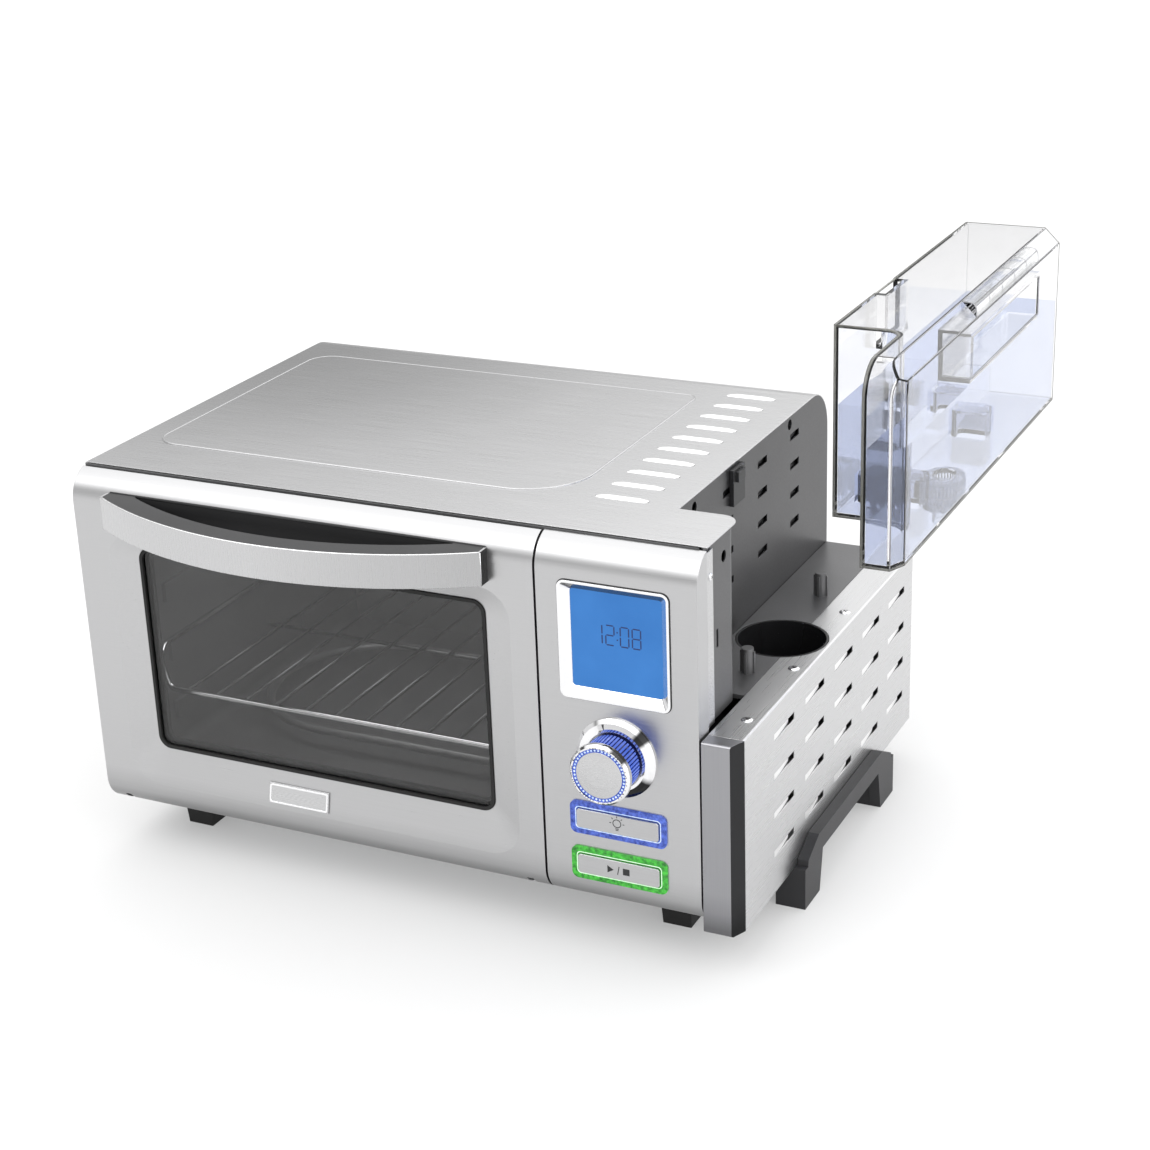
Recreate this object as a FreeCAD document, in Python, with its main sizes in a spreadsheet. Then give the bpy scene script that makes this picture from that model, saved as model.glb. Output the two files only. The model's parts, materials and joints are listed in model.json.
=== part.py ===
import FreeCAD, Part
import math
import os
import Sketcher
from FreeCAD import Placement, Rotation, Vector

# A counter-top steam oven: a brushed steel casing with a drop-down glass door on the left, a
# control column on its right, and an open bay at the right end that a clear water tank drops into.
# Every length below is in the oven's corner frame: x from the left side, y from the front face
# towards the back, z up from the counter. Each sub-part's Placement then moves it to the model
# frame, whose origin is on the counter under the middle of the whole object.

os.makedirs("parts", exist_ok=True)
doc = FreeCAD.newDocument("SteamOven")
sheet = doc.addObject("Spreadsheet::Sheet", "Sizes")

SIZES = [
    ("body_depth", 346, "front face to the back of the casing"),
    ("body_top", 284, "counter to the top of the casing"),
    ("underside", 30, "counter to the bottom pan"),
    ("door_right", 346, "left side to the right edge of the door"),
    ("seam", 1.6, "gap between door and control column"),
    ("panel_right", 455, "left side to the right edge of the control column"),
    ("bay_wall", 413, "left side to the wall of the tank bay"),
    ("bay_front", 72, "front face to the start of the tank bay"),
    ("tray_top", 163, "counter to the floor of the tank bay"),
    ("base_right", 480, "left side to the outer face of the base"),
    ("sheet_metal", 0.8, "thickness of the casing sheet"),
    ("front_depth", 15, "thickness of the door and of the control column's front"),
    ("front_round", 21, "radius of the front's rolled top and bottom edges"),
    ("front_wall", 1.2, "wall of the door skin and of the control panel"),
    ("front_underside", 32, "counter to the bottom edge of the door"),
    ("frame_face", 16, "front face to the chassis frame behind the door"),
    ("cover_front", 17.4, "front face to the front edge of the top cover"),
    ("rear_round", 30, "radius of the cover's bend at the back of the top"),
    ("edge_round", 1.5, "radius of the casing's other folded edges"),
    ("rear_seam", 250, "counter to the seam between cover and back panel"),
    ("wing_round", 12, "corner radius beside the tank bay"),
    ("gap", 0.3, "clearance between pieces that only pass each other"),
    ("running", 0.05, "radial clearance of a shaft in its bearing"),
    ("field_left", 20, "left edge of the raised field on the top"),
    ("field_right", 336, "right edge of the raised field on the top"),
    ("field_front", 68, "front edge of the raised field on the top"),
    ("field_back", 288, "back edge of the raised field on the top"),
    ("field_rise", 0.6, "height of the raised field"),
    ("field_round", 18, "corner radius of the raised field"),
    ("field_big_round", 44, "front right corner radius of the raised field"),
    ("louvre_length", 37, "length of a louvre in the top"),
    ("louvre_width", 5, "width of a louvre in the top"),
    ("louvre_left", 354, "left end of the louvres"),
    ("louvre_first", 76, "front face to the middle of the first louvre"),
    ("louvre_pitch", 24.6, "distance from louvre to louvre"),
    ("louvre_count", 10, "louvres in the top"),
    ("window_left", 45, "left edge of the window"),
    ("window_right", 308.5, "right edge of the window"),
    ("window_low", 83, "bottom edge of the window"),
    ("window_high", 232, "top edge of the window"),
    ("window_round", 9, "corner radius of the window"),
    ("dish_side", 20, "width of the dished border beside the window"),
    ("dish_low", 27, "width of the dished border below the window"),
    ("dish_high", 12, "width of the dished border above the window"),
    ("dish_depth", 6, "depth of the dish at the window"),
    ("dish_round", 22, "corner radius of the dish"),
    ("glass", 4, "thickness of the door glass"),
    ("handle_left", 29.5, "left end of the handle"),
    ("handle_right", 315, "right end of the handle"),
    ("handle_low", 248.5, "bottom edge of the handle"),
    ("handle_height", 22.5, "height of the handle bar"),
    ("handle_reach", 48, "how far the bow stands out from the door"),
    ("handle_end", 9, "how far the handle's ends stand out from the door"),
    ("handle_skin", 1.5, "thickness of the handle's steel strip"),
    ("grip_band", 15, "thickness of the grip behind the strip at its middle"),
    ("grip_end", 23, "length of the grip's solid ends"),
    ("hinge_y", 10, "front face to the hinge axis"),
    ("hinge_z", 44, "counter to the hinge axis"),
    ("hinge_pin", 3, "radius of the hinge pins"),
    ("hinge_inset", 12, "door edge to the hinge bracket"),
    ("hinge_plate", 3, "thickness of a hinge bracket"),
    ("hinge_cheek", 5, "thickness of a hinge cheek"),
    ("badge_left", 136, "left edge of the blank badge"),
    ("badge_low", 60, "bottom edge of the blank badge"),
    ("badge_length", 47, "length of the blank badge"),
    ("badge_height", 14.5, "height of the blank badge"),
    ("badge_thick", 1, "thickness of the blank badge"),
    ("cavity_left", 30, "left wall of the oven chamber"),
    ("cavity_right", 322, "right wall of the oven chamber"),
    ("cavity_low", 62, "floor of the oven chamber"),
    ("cavity_high", 254, "ceiling of the oven chamber"),
    ("cavity_back", 300, "back wall of the oven chamber"),
    ("cavity_round", 8, "corner radius of the oven chamber"),
    ("guide_rise", 3, "how far a rack guide stands out from its wall"),
    ("guide_height", 14, "height of a rack guide"),
    ("guide_length", 34, "length of a rack guide"),
    ("guide_low", 98, "counter to the top of the lowest rack guide"),
    ("guide_pitch", 45, "distance from guide to guide"),
    ("guide_front", 48, "front face to the first rack guide"),
    ("guide_spread", 170, "distance from the first rack guide to the rear one"),
    ("rack_wire", 2.2, "radius of the rack's frame wire"),
    ("rack_bar", 1.3, "radius of the rack's thin bars"),
    ("rack_drop", 28, "drop from the rack's side rails to its bars"),
    ("rack_front", 30, "front face to the rack's front wire"),
    ("rack_back", 285, "front face to the rack's rear wire"),
    ("rack_bars", 11, "thin bars in the rack"),
    ("heater_tube", 3.2, "radius of a heating element"),
    ("heater_left", 52, "left end of a heating element's loop"),
    ("heater_front", 84, "front face to a heating element's front leg"),
    ("heater_back", 236, "front face to a heating element's rear leg"),
    ("fan_y", 165, "front face to the fan's axis"),
    ("fan_z", 160, "counter to the fan's axis"),
    ("fan_mouth", 44, "radius of the fan's opening in the chamber wall"),
    ("fan_can", 49, "radius of the fan housing"),
    ("fan_can_depth", 20, "depth of the fan housing"),
    ("fan_tip", 40, "radius of the fan's blade tips"),
    ("fan_shaft", 3, "radius of the fan shaft"),
    ("fan_blades", 10, "blades on the fan"),
    ("motor_radius", 27, "radius of the fan motor"),
    ("motor_length", 34, "length of the fan motor"),
    ("lamp_y", 66, "front face to the oven lamp"),
    ("lamp_z", 214, "counter to the oven lamp"),
    ("lamp_radius", 15, "radius of the lamp's lens"),
    ("display_left", 362.5, "left edge of the display frame"),
    ("display_right", 437, "right edge of the display frame"),
    ("display_low", 179, "bottom edge of the display frame"),
    ("display_high", 257.5, "top edge of the display frame"),
    ("display_border", 6.7, "width of the display frame's bevel"),
    ("display_round", 5, "corner radius of the display frame"),
    ("display_sink", 4, "depth of the display's face behind the front"),
    ("display_lip", 1.2, "how far the display frame stands out"),
    ("dial_x", 399.5, "left side to the dial's axis"),
    ("dial_z", 142.4, "counter to the dial's axis"),
    ("dial_ring", 27, "outer radius of the dial's fixed ring"),
    ("dial_ring_rise", 4.5, "how far the fixed ring stands out"),
    ("dial_barrel", 18.2, "radius of the dial's ribbed barrel"),
    ("dial_face", 20.5, "radius of the dial's front ring"),
    ("dial_length", 27, "how far the dial stands out"),
    ("dial_cap", 15.5, "radius of the dial's domed cap"),
    ("dial_shaft", 3, "radius of the dial's shaft"),
    ("dial_travel", 1.2, "press of the dial"),
    ("key_left", 366, "left edge of the key frames"),
    ("key_right", 432.5, "right edge of the key frames"),
    ("key_height", 23, "height of a key frame"),
    ("light_key_low", 84.5, "bottom edge of the upper key frame"),
    ("start_key_low", 52, "bottom edge of the lower key frame"),
    ("key_border", 4.6, "width of a key's glowing frame"),
    ("key_round", 4.5, "corner radius of a key frame"),
    ("key_rise", 1.2, "how far a key frame stands out"),
    ("key_travel", 1.2, "press of a key"),
    ("board_face", 24, "front face to the control board"),
    ("board_thick", 1.6, "thickness of a circuit board"),
    ("side_inset", 3, "step from the control panel's edge to the bay's side sheet"),
    ("chamfer_depth", 12, "depth of the base's slanted front corner"),
    ("chamfer_width", 5, "width of the base's slanted front corner"),
    ("base_left", 456.2, "left side to the base cover's inner edge"),
    ("cup_x", 446, "left side to the middle of the valve cup"),
    ("cup_y", 165.5, "front face to the middle of the valve cup"),
    ("cup_radius", 31.2, "outer radius of the valve cup"),
    ("cup_wall", 1.5, "wall of the valve cup"),
    ("cup_depth", 42, "depth of the valve cup"),
    ("post_x", 444.5, "left side to the bay's posts"),
    ("post_front", 107, "front face to the first post"),
    ("post_back", 245.5, "front face to the second post"),
    ("post_radius", 5, "radius of a post"),
    ("post_height", 17, "height of a post"),
    ("vent_length", 17, "length of a bay wall slot"),
    ("vent_height", 5, "height of a bay wall slot"),
    ("tank_left", 415, "left side to the seated tank"),
    ("tank_front", 2, "front face to the tank's narrow arm"),
    ("tank_main", 74, "front face to the tank's wide part"),
    ("tank_arm", 457, "left side to the tank's narrow arm"),
    ("tank_back", 342, "front face to the back of the tank"),
    ("tank_floor", 164, "counter to the bottom of the seated tank"),
    ("tank_wall", 2.4, "wall of the tank"),
    ("tank_scoop", 13, "radius of the tank's inner corner"),
    ("tank_bevel", 10, "bevel along the tank's outer top edge"),
    ("tank_round", 21, "radius of the tank arm's top front edge"),
    ("grip_front", 140, "front face to the tank's grip pocket"),
    ("grip_back", 292, "front face to the rear end of the grip pocket"),
    ("grip_low", 238, "counter to the bottom of the seated grip pocket"),
    ("grip_high", 264, "counter to the top of the seated grip pocket"),
    ("grip_pocket", 20, "depth of the grip pocket"),
    ("cap_x", 447, "left side to the tank's cap"),
    ("cap_radius", 17, "radius of the cap's ribbed skirt"),
    ("cap_skirt", 12, "height of the cap's skirt"),
    ("cap_stub", 9, "radius of the cap's spout"),
    ("cap_height", 22, "height of the cap"),
    ("neck_radius", 12, "radius of the tank's neck"),
    ("valve_pin", 1.5, "radius of the cup's pin"),
    ("valve_stem", 2.5, "radius of the tank valve's stem"),
    ("valve_travel", 3, "stroke of the tank valve"),
    ("lift_side", 98, "how far to the right the drawn tank is held"),
    ("lift_up", 127, "how high the drawn tank is held"),
    ("bracket_front", 98, "front face to the side bracket"),
    ("bracket_back", 282, "front face to the back of the side bracket"),
    ("bracket_leg", 28, "width of a bracket leg"),
    ("bracket_top", 44, "counter to the top of the side bracket"),
    ("bracket_web", 14, "thickness of the bracket's bridge"),
    ("bracket_out", 488, "left side to the outer face of the bracket"),
    ("foot_size", 24, "side of a rubber foot"),
    ("foot_left", 29, "left side to the left feet"),
    ("foot_right", 405, "left side to the right feet"),
    ("foot_front", 46, "front face to the front feet"),
    ("foot_back", 290, "front face to the rear feet"),
    ("spacer_reach", 6, "how far the rear spacers stand out"),
    ("cord_y", 60, "height of the cord inlet above the bottom pan"),
    ("cord_bore", 3.6, "radius of the cord inlet's bore"),
    ("hose_radius", 3.5, "radius of a water hose"),
]
for row, (alias, value, meaning) in enumerate(SIZES, start=1):
    sheet.set(f"A{row}", meaning)
    sheet.set(f"B{row}", str(value))
    sheet.setAlias(f"B{row}", alias)
doc.recompute()


class Size(float):
    """A length that remembers the spreadsheet formula it comes from."""

    def __new__(cls, value, text):
        size = super().__new__(cls, value)
        size.text = text
        return size

    def __add__(self, other):
        return Size(float(self) + float(other), f"({self.text} + {text_of(other)})")

    def __radd__(self, other):
        return Size(float(other) + float(self), f"({text_of(other)} + {self.text})")

    def __sub__(self, other):
        return Size(float(self) - float(other), f"({self.text} - {text_of(other)})")

    def __rsub__(self, other):
        return Size(float(other) - float(self), f"({text_of(other)} - {self.text})")

    def __mul__(self, other):
        return Size(float(self) * float(other), f"({self.text} * {text_of(other)})")

    def __rmul__(self, other):
        return Size(float(other) * float(self), f"({text_of(other)} * {self.text})")

    def __truediv__(self, other):
        return Size(float(self) / float(other), f"({self.text} / {text_of(other)})")

    def __neg__(self):
        return Size(-float(self), f"(0 - {self.text})")


def text_of(value):
    return value.text if isinstance(value, Size) else repr(float(value))


def slope_angle(rise, run):
    """The angle in degrees of a slope, still tied to the sheet."""
    value = math.degrees(math.atan2(float(rise), float(run)))
    return Size(value, f"(atan({text_of(rise)} / {text_of(run)}) / 1deg)")


class Sheet:
    """The spreadsheet's sizes by name."""

    def __getattr__(self, alias):
        return Size(getattr(sheet, alias), f"Sizes.{alias}")


S = Sheet()

# Derived places that several pieces share.
LEFT = -(S.base_right + S.lift_side) / 2
FRONT = (S.handle_reach - S.body_depth - S.spacer_reach) / 2
PANEL_LEFT = S.door_right + S.seam
COVER_UNDER = S.body_top - S.sheet_metal
SIDE_SHEET = S.panel_right - S.side_inset
BACK_SHEET = S.body_depth - S.sheet_metal
PAN_TOP = S.underside + S.sheet_metal
CAVITY_SHEET_RIGHT = S.cavity_right + S.sheet_metal
FRAME_BACK = S.frame_face + S.sheet_metal
HANDLE_HIGH = S.handle_low + S.handle_height
RAIL_Z = S.guide_low + S.guide_pitch + S.rack_wire + S.gap
RACK_Z = RAIL_Z - S.rack_drop
KEY_STEM_END = S.board_face - 10
SCREW_X = 470.5
SCREW_SHANK = 1.6
SCREW_PLACES = (40.0, 122.4, 222.3, 318.0)
OUT_FRONT = Rotation(Vector(1, 0, 0), 90)
OUT_RIGHT = Rotation(Vector(0, 1, 0), 90)
PLANES = {"XY": "z", "XZ": "y", "YZ": "x"}

subparts = {}


def tie(piece, prop, size):
    """Binds a property to the sheet, or sets it where the size is a plain number."""
    if isinstance(size, Size):
        piece.setExpression(prop, size.text)
    else:
        piece.setExpression(prop, text_of(size))


def place(piece, x=LEFT, y=FRONT, z=0.0, rotation=None):
    if rotation is not None:
        piece.Placement = Placement(Vector(0, 0, 0), rotation)
    for axis, size in zip("xyz", (x, y, z)):
        tie(piece, f"Placement.Base.{axis}", size)
    return piece


def keep(piece, name, x=LEFT, y=FRONT, z=0.0, rotation=None):
    """Registers a finished sub-part under its own label and moves it to the model frame."""
    piece.Label = name
    subparts[name] = piece
    return place(piece, x, y, z, rotation)


# ---------------------------------------------------------------- sketched bodies

def new_body(name):
    return doc.addObject("PartDesign::Body", name + "_body")


def sketch_on(body, plane, height):
    """An empty sketch parallel to one of the body's origin planes, at the given height along x, y or z."""
    sketch = body.newObject("Sketcher::SketchObject", "Outline")
    origin = [item for item in body.Origin.OriginFeatures if item.Role == plane + "_Plane"][0]
    sketch.AttachmentSupport = [(origin, "")]
    sketch.MapMode = "FlatFace"
    along = -height if plane == "XZ" else height
    tie(sketch, "AttachmentOffset.Base.z", along)
    return sketch


def pin_point(sketch, item, end, u, v):
    """Ties one point of the sketch to its two coordinates."""
    for kind, size, axis in (("DistanceX", u, -2), ("DistanceY", v, -1)):
        if float(size) == 0.0 and not isinstance(size, Size):
            sketch.addConstraint(Sketcher.Constraint("PointOnObject", item, end, axis))
            continue
        index = sketch.addConstraint(Sketcher.Constraint(kind, -1, 1, item, end, float(size)))
        tie(sketch, f"Constraints[{index}]", size)


def polygon(*points):
    """A closed loop of straight edges."""
    def draw(sketch):
        corners = [Vector(float(u), float(v), 0) for u, v in points]
        ends = corners[1:] + corners[:1]
        lines = [sketch.addGeometry(Part.LineSegment(a, b), False) for a, b in zip(corners, ends)]
        for index, line in enumerate(lines):
            follower = lines[(index + 1) % len(lines)]
            sketch.addConstraint(Sketcher.Constraint("Coincident", line, 2, follower, 1))
            pin_point(sketch, line, 1, *points[index])
    return draw


def rectangle(u, v):
    return polygon((u[0], v[0]), (u[1], v[0]), (u[1], v[1]), (u[0], v[1]))


def circle(u, v, radius):
    def draw(sketch):
        item = sketch.addGeometry(Part.Circle(Vector(float(u), float(v), 0), Vector(0, 0, 1), float(radius)), False)
        pin_point(sketch, item, 3, u, v)
        index = sketch.addConstraint(Sketcher.Constraint("Radius", item, float(radius)))
        tie(sketch, f"Constraints[{index}]", radius)
    return draw


def pane(u, v, radius):
    """A rectangle with rounded corners."""
    def draw(sketch):
        (u0, u1), (v0, v1), r = [[float(end) for end in pair] for pair in (u, v)] + [float(radius)]
        def line(a, b):
            return sketch.addGeometry(Part.LineSegment(Vector(*a, 0), Vector(*b, 0)), False)
        def arc(centre_u, centre_v, start):
            ring = Part.Circle(Vector(centre_u, centre_v, 0), Vector(0, 0, 1), r)
            return sketch.addGeometry(Part.ArcOfCircle(ring, start, start + math.pi / 2), False)
        low = line((u0 + r, v0), (u1 - r, v0))
        right = line((u1, v0 + r), (u1, v1 - r))
        high = line((u1 - r, v1), (u0 + r, v1))
        left = line((u0, v1 - r), (u0, v0 + r))
        arcs = [arc(u1 - r, v0 + r, -math.pi / 2), arc(u1 - r, v1 - r, 0.0),
                arc(u0 + r, v1 - r, math.pi / 2), arc(u0 + r, v0 + r, math.pi)]
        sides = [low, right, high, left]
        for index, corner in enumerate(arcs):
            sketch.addConstraint(Sketcher.Constraint("Tangent", sides[index], 2, corner, 1))
            sketch.addConstraint(Sketcher.Constraint("Tangent", corner, 2, sides[(index + 1) % 4], 1))
        for side in (low, high):
            sketch.addConstraint(Sketcher.Constraint("Horizontal", side))
        for side in (left, right):
            sketch.addConstraint(Sketcher.Constraint("Vertical", side))
        for corner in arcs[1:]:
            sketch.addConstraint(Sketcher.Constraint("Equal", arcs[0], corner))
        index = sketch.addConstraint(Sketcher.Constraint("Radius", arcs[0], r))
        tie(sketch, f"Constraints[{index}]", radius)
        for kind, side, size in (("DistanceY", low, v[0]), ("DistanceX", right, u[1]),
                                 ("DistanceY", high, v[1]), ("DistanceX", left, u[0])):
            index = sketch.addConstraint(Sketcher.Constraint(kind, -1, 1, side, 1, float(size)))
            tie(sketch, f"Constraints[{index}]", size)
    return draw


def pad(body, plane, span, *loops):
    """Adds a prism over a span of x, y or z."""
    low, high = span
    sketch = sketch_on(body, plane, high if plane == "XZ" else low)
    for draw in loops:
        draw(sketch)
    feature = body.newObject("PartDesign::Pad", "Pad")
    feature.Profile = sketch
    tie(feature, "Length", high - low)
    sketch.recompute()
    return feature


def pocket(body, plane, span, *loops):
    """Cuts a prism over a span of x, y or z."""
    low, high = span
    sketch = sketch_on(body, plane, low if plane == "XZ" else high)
    for draw in loops:
        draw(sketch)
    feature = body.newObject("PartDesign::Pocket", "Pocket")
    feature.Profile = sketch
    tie(feature, "Length", high - low)
    return feature


def loft(body, kind, plane, sections):
    """Lofts through loops that lie at different heights of one plane."""
    sketches = []
    for height, draw in sections:
        sketch = sketch_on(body, plane, height)
        draw(sketch)
        sketches.append(sketch)
    feature = body.newObject(f"PartDesign::{kind}Loft", kind + "Loft")
    feature.Profile = sketches[0]
    feature.Sections = sketches[1:]
    feature.Ruled = True
    return feature


def row(body, feature, axis, spread, count):
    """Repeats a feature along x, y or z of its body."""
    pattern = body.newObject("PartDesign::LinearPattern", "Row")
    pattern.Originals = [feature]
    line = [item for item in body.Origin.OriginFeatures if item.Role == axis + "_Axis"][0]
    pattern.Direction = (line, [""])
    tie(pattern, "Length", spread)
    tie(pattern, "Occurrences", count)
    body.Tip = pattern
    return pattern


def ring_of(body, feature, count):
    """Repeats a feature around z of its body."""
    pattern = body.newObject("PartDesign::PolarPattern", "Ring")
    pattern.Originals = [feature]
    line = [item for item in body.Origin.OriginFeatures if item.Role == "Z_Axis"][0]
    pattern.Axis = (line, [""])
    pattern.Angle = 360
    tie(pattern, "Occurrences", count)
    body.Tip = pattern
    return pattern


def edges_near(shape, points, along=None):
    """Names of the edges whose middle lies at the given points, or of the straight ones along x, y or z."""
    names = []
    for index, edge in enumerate(shape.Edges, start=1):
        middle = edge.valueAt((edge.FirstParameter + edge.LastParameter) / 2)
        span = edge.Vertexes[-1].Point - edge.Vertexes[0].Point
        for point in points:
            near = all(wanted is None or abs(have - float(wanted)) < 0.05 for have, wanted in zip(middle, point))
            if near and (along is None or abs(span["xyz".index(along)]) > 0.999 * max(span.Length, 1e-6) > 0.0009):
                names.append(f"Edge{index}")
    return names


def soften(body, radius, points, along=None, kind="Fillet"):
    """Rounds or bevels the edges of the body's latest shape that pass the given points."""
    doc.recompute()
    base = body.Tip
    names = edges_near(base.Shape, points, along)
    if not names:
        raise ValueError(f"{body.Name}: no edge to soften at {points}")
    feature = body.newObject(f"PartDesign::{kind}", kind)
    feature.Base = (base, names)
    tie(feature, "Radius" if kind == "Fillet" else "Size", radius)
    return feature


def turned(name, profile, x, y, z, rotation, final=True):
    """A round piece: a profile of (radius, height) corners turned about the body's own z axis."""
    body = new_body(name)
    sketch = sketch_on(body, "XZ", 0.0)
    polygon(*profile)(sketch)
    feature = body.newObject("PartDesign::Revolution", "Turned")
    feature.Profile = sketch
    feature.ReferenceAxis = (sketch, ["V_Axis"])
    feature.Angle = 360
    if final:
        return keep(body, name, LEFT + x, FRONT + y, z, rotation)
    return place(body, x, y, z, rotation)


# ---------------------------------------------------------------- primitives

def block(name, x, y, z):
    """A box over spans of x, y and z."""
    piece = doc.addObject("Part::Box", name)
    for prop, (low, high) in (("Length", x), ("Width", y), ("Height", z)):
        tie(piece, prop, high - low)
    return place(piece, x[0], y[0], z[0])


def rod(name, radius, start, length, rotation=None):
    piece = doc.addObject("Part::Cylinder", name)
    tie(piece, "Radius", radius)
    tie(piece, "Height", length)
    return place(piece, *start, rotation=rotation)


def joined(name, pieces):
    fused = doc.addObject("Part::MultiFuse", name)
    fused.Shapes = pieces
    return fused


def grouped(name, pieces):
    """Separate solids that share one node."""
    group = doc.addObject("Part::Compound", name)
    group.Links = pieces
    return group


def cut(name, base, tools):
    tool = tools[0] if len(tools) == 1 else joined(name + "_tools", tools)
    piece = doc.addObject("Part::Cut", name)
    piece.Base = base
    piece.Tool = tool
    return piece


def keep_block(name, x, y, z):
    piece = block(name, x, y, z)
    piece.Label = name
    subparts[name] = piece
    return place(piece, LEFT + x[0], FRONT + y[0], z[0])


# ---------------------------------------------------------------- casing

def outer_cover():
    body = new_body("outer_cover")
    outside = polygon((S.cover_front, S.underside), (S.body_depth, S.underside),
                      (S.body_depth, S.body_top), (S.cover_front, S.body_top))
    pad(body, "YZ", (0.0, S.bay_wall), outside)
    soften(body, S.rear_round, [(None, S.body_depth, S.body_top)], "x")
    inner_round = S.rear_round - S.sheet_metal
    inside = pane((S.cover_front - 2 * inner_round, BACK_SHEET), (S.underside - 2 * inner_round, COVER_UNDER),
                  inner_round)
    pocket(body, "YZ", (S.sheet_metal, S.bay_wall + 1), inside)
    pocket(body, "XZ", (BACK_SHEET - 1, S.body_depth + 1),
           rectangle((S.sheet_metal, S.bay_wall + 1), (S.underside - 1, S.rear_seam)))
    pad(body, "XY", (COVER_UNDER, S.body_top),
        rectangle((S.bay_wall - 5, S.panel_right), (S.cover_front, S.bay_front)))
    soften(body, S.wing_round, [(S.panel_right, S.bay_front, None)], "z")
    pad(body, "XY", (S.body_top, S.body_top + S.field_rise),
        rectangle((S.field_left, S.field_right), (S.field_front, S.field_back)))
    left_corners = [(S.field_left, S.field_front, None), (S.field_left, S.field_back, None)]
    soften(body, S.field_round, left_corners, "z")
    soften(body, S.field_round / 2, [(S.field_right, S.field_back, None)], "z")
    soften(body, S.field_big_round, [(S.field_right, S.field_front, None)], "z")
    slot = pocket(body, "XY", (COVER_UNDER - 1, S.body_top + 1),
                  pane((S.louvre_left, S.louvre_left + S.louvre_length),
                       (S.louvre_first - S.louvre_width / 2, S.louvre_first + S.louvre_width / 2),
                       S.louvre_width * 0.42))
    row(body, slot, "Y", S.louvre_pitch * (S.louvre_count - 1), S.louvre_count)
    soften(body, S.edge_round, [(0.0, None, S.body_top)], "y")
    # The lower front corner is notched for the door's bottom edge, which swings back as the door opens.
    pocket(body, "YZ", (-1.0, S.sheet_metal + 1),
           rectangle((S.cover_front - 1, S.hinge_y + 14), (S.underside - 1, S.hinge_z + 8)))
    keep(body, "outer_cover")


def bay_wall():
    """The slotted wall between the works and the tank bay."""
    body = new_body("bay_wall")
    low = S.tray_top - 3
    pad(body, "YZ", (S.bay_wall - 1, S.bay_wall),
        polygon((S.bay_front - 1, low), (BACK_SHEET, low), (BACK_SHEET, COVER_UNDER),
                (S.bay_front - 1, COVER_UNDER)))
    soften(body, S.rear_round - S.sheet_metal, [(None, BACK_SHEET, COVER_UNDER)], "x")
    slots = []
    for level in range(4):
        middle = 203 + 21.5 * level
        slots.append(rectangle((145.0, 145.0 + S.vent_length), (middle - S.vent_height / 2, middle + S.vent_height / 2)))
    first = pocket(body, "YZ", (S.bay_wall - 2, S.bay_wall + 1), *slots)
    row(body, first, "Y", 124.0, 3)
    pocket(body, "YZ", (S.bay_wall - 2, S.bay_wall + 1), circle(97.0, 276.0, 3.8), circle(268.0, 277.5, 3.8))
    keep(body, "bay_wall")


def bay_side_sheet():
    """The sheet that closes the control column towards the tank bay, with a rounded corner."""
    body = new_body("bay_side_sheet")
    outer, inner = SIDE_SHEET, SIDE_SHEET - 1
    back, start = S.bay_front, S.cover_front + S.gap
    pad(body, "XY", (S.tray_top + S.gap, COVER_UNDER),
        polygon((inner, start), (outer, start), (outer, back), (S.bay_wall + S.gap, back),
                (S.bay_wall + S.gap, back - 1), (inner, back - 1)))
    soften(body, S.wing_round - 1, [(inner, back - 1, None)], "z")
    soften(body, S.wing_round, [(outer, back, None)], "z")
    pocket(body, "YZ", (inner - 1, outer + 1), circle(50.0, 266.0, 3.8),
           rectangle((37.0, 40.0), (210.0, 222.0)))
    keep(body, "bay_side_sheet")


def bay_trim_strip():
    """A narrow bright strip along the column's side, behind the front's edge."""
    body = new_body("bay_trim_strip")
    pad(body, "YZ", (SIDE_SHEET, SIDE_SHEET + 1.5),
        rectangle((S.cover_front + S.gap, 29.0), (S.tray_top + S.gap, 279.0)))
    keep(body, "bay_trim_strip")


def rear_panel():
    body = new_body("rear_panel")
    left = S.sheet_metal + S.gap
    right = S.base_right - S.sheet_metal - S.gap
    step = S.bay_wall
    shelf = S.tray_top - 4
    pad(body, "XZ", (BACK_SHEET, S.body_depth),
        polygon((left, S.underside), (right, S.underside), (right, shelf), (step, shelf),
                (step, S.rear_seam), (left, S.rear_seam)))
    slot = pocket(body, "XZ", (BACK_SHEET - 1, S.body_depth + 1),
                  rectangle((330.0, 395.0), (170.0, 174.0)))
    row(body, slot, "Z", 60.0, 7)
    pocket(body, "XZ", (BACK_SHEET - 1, S.body_depth + 1),
           circle(380.0, S.underside + S.cord_y, S.cord_bore + 3.5))
    keep(body, "rear_panel")


def bottom_pan():
    body = new_body("bottom_pan")
    right = S.base_right - S.sheet_metal - S.gap
    pad(body, "XY", (S.underside, PAN_TOP),
        rectangle((S.sheet_metal + S.gap, right), (20.0, BACK_SHEET - S.gap)))
    slot = pocket(body, "XY", (S.underside - 1, PAN_TOP + 1), rectangle((334.0, 400.0), (120.0, 124.0)))
    row(body, slot, "Y", 130.0, 9)
    keep(body, "bottom_pan")


def front_frame():
    """The chassis frame that the door closes on; it shows as a thin line above the door."""
    body = new_body("front_frame")
    pad(body, "XZ", (S.frame_face, FRAME_BACK),
        rectangle((S.sheet_metal + S.gap, SIDE_SHEET - 2), (52.0, COVER_UNDER)),
        pane((S.cavity_left, S.cavity_right), (S.cavity_low, S.cavity_high), S.cavity_round),
        rectangle((PANEL_LEFT + 3, SIDE_SHEET - 8), (56.0, 272.0)))
    keep(body, "front_frame")


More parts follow.
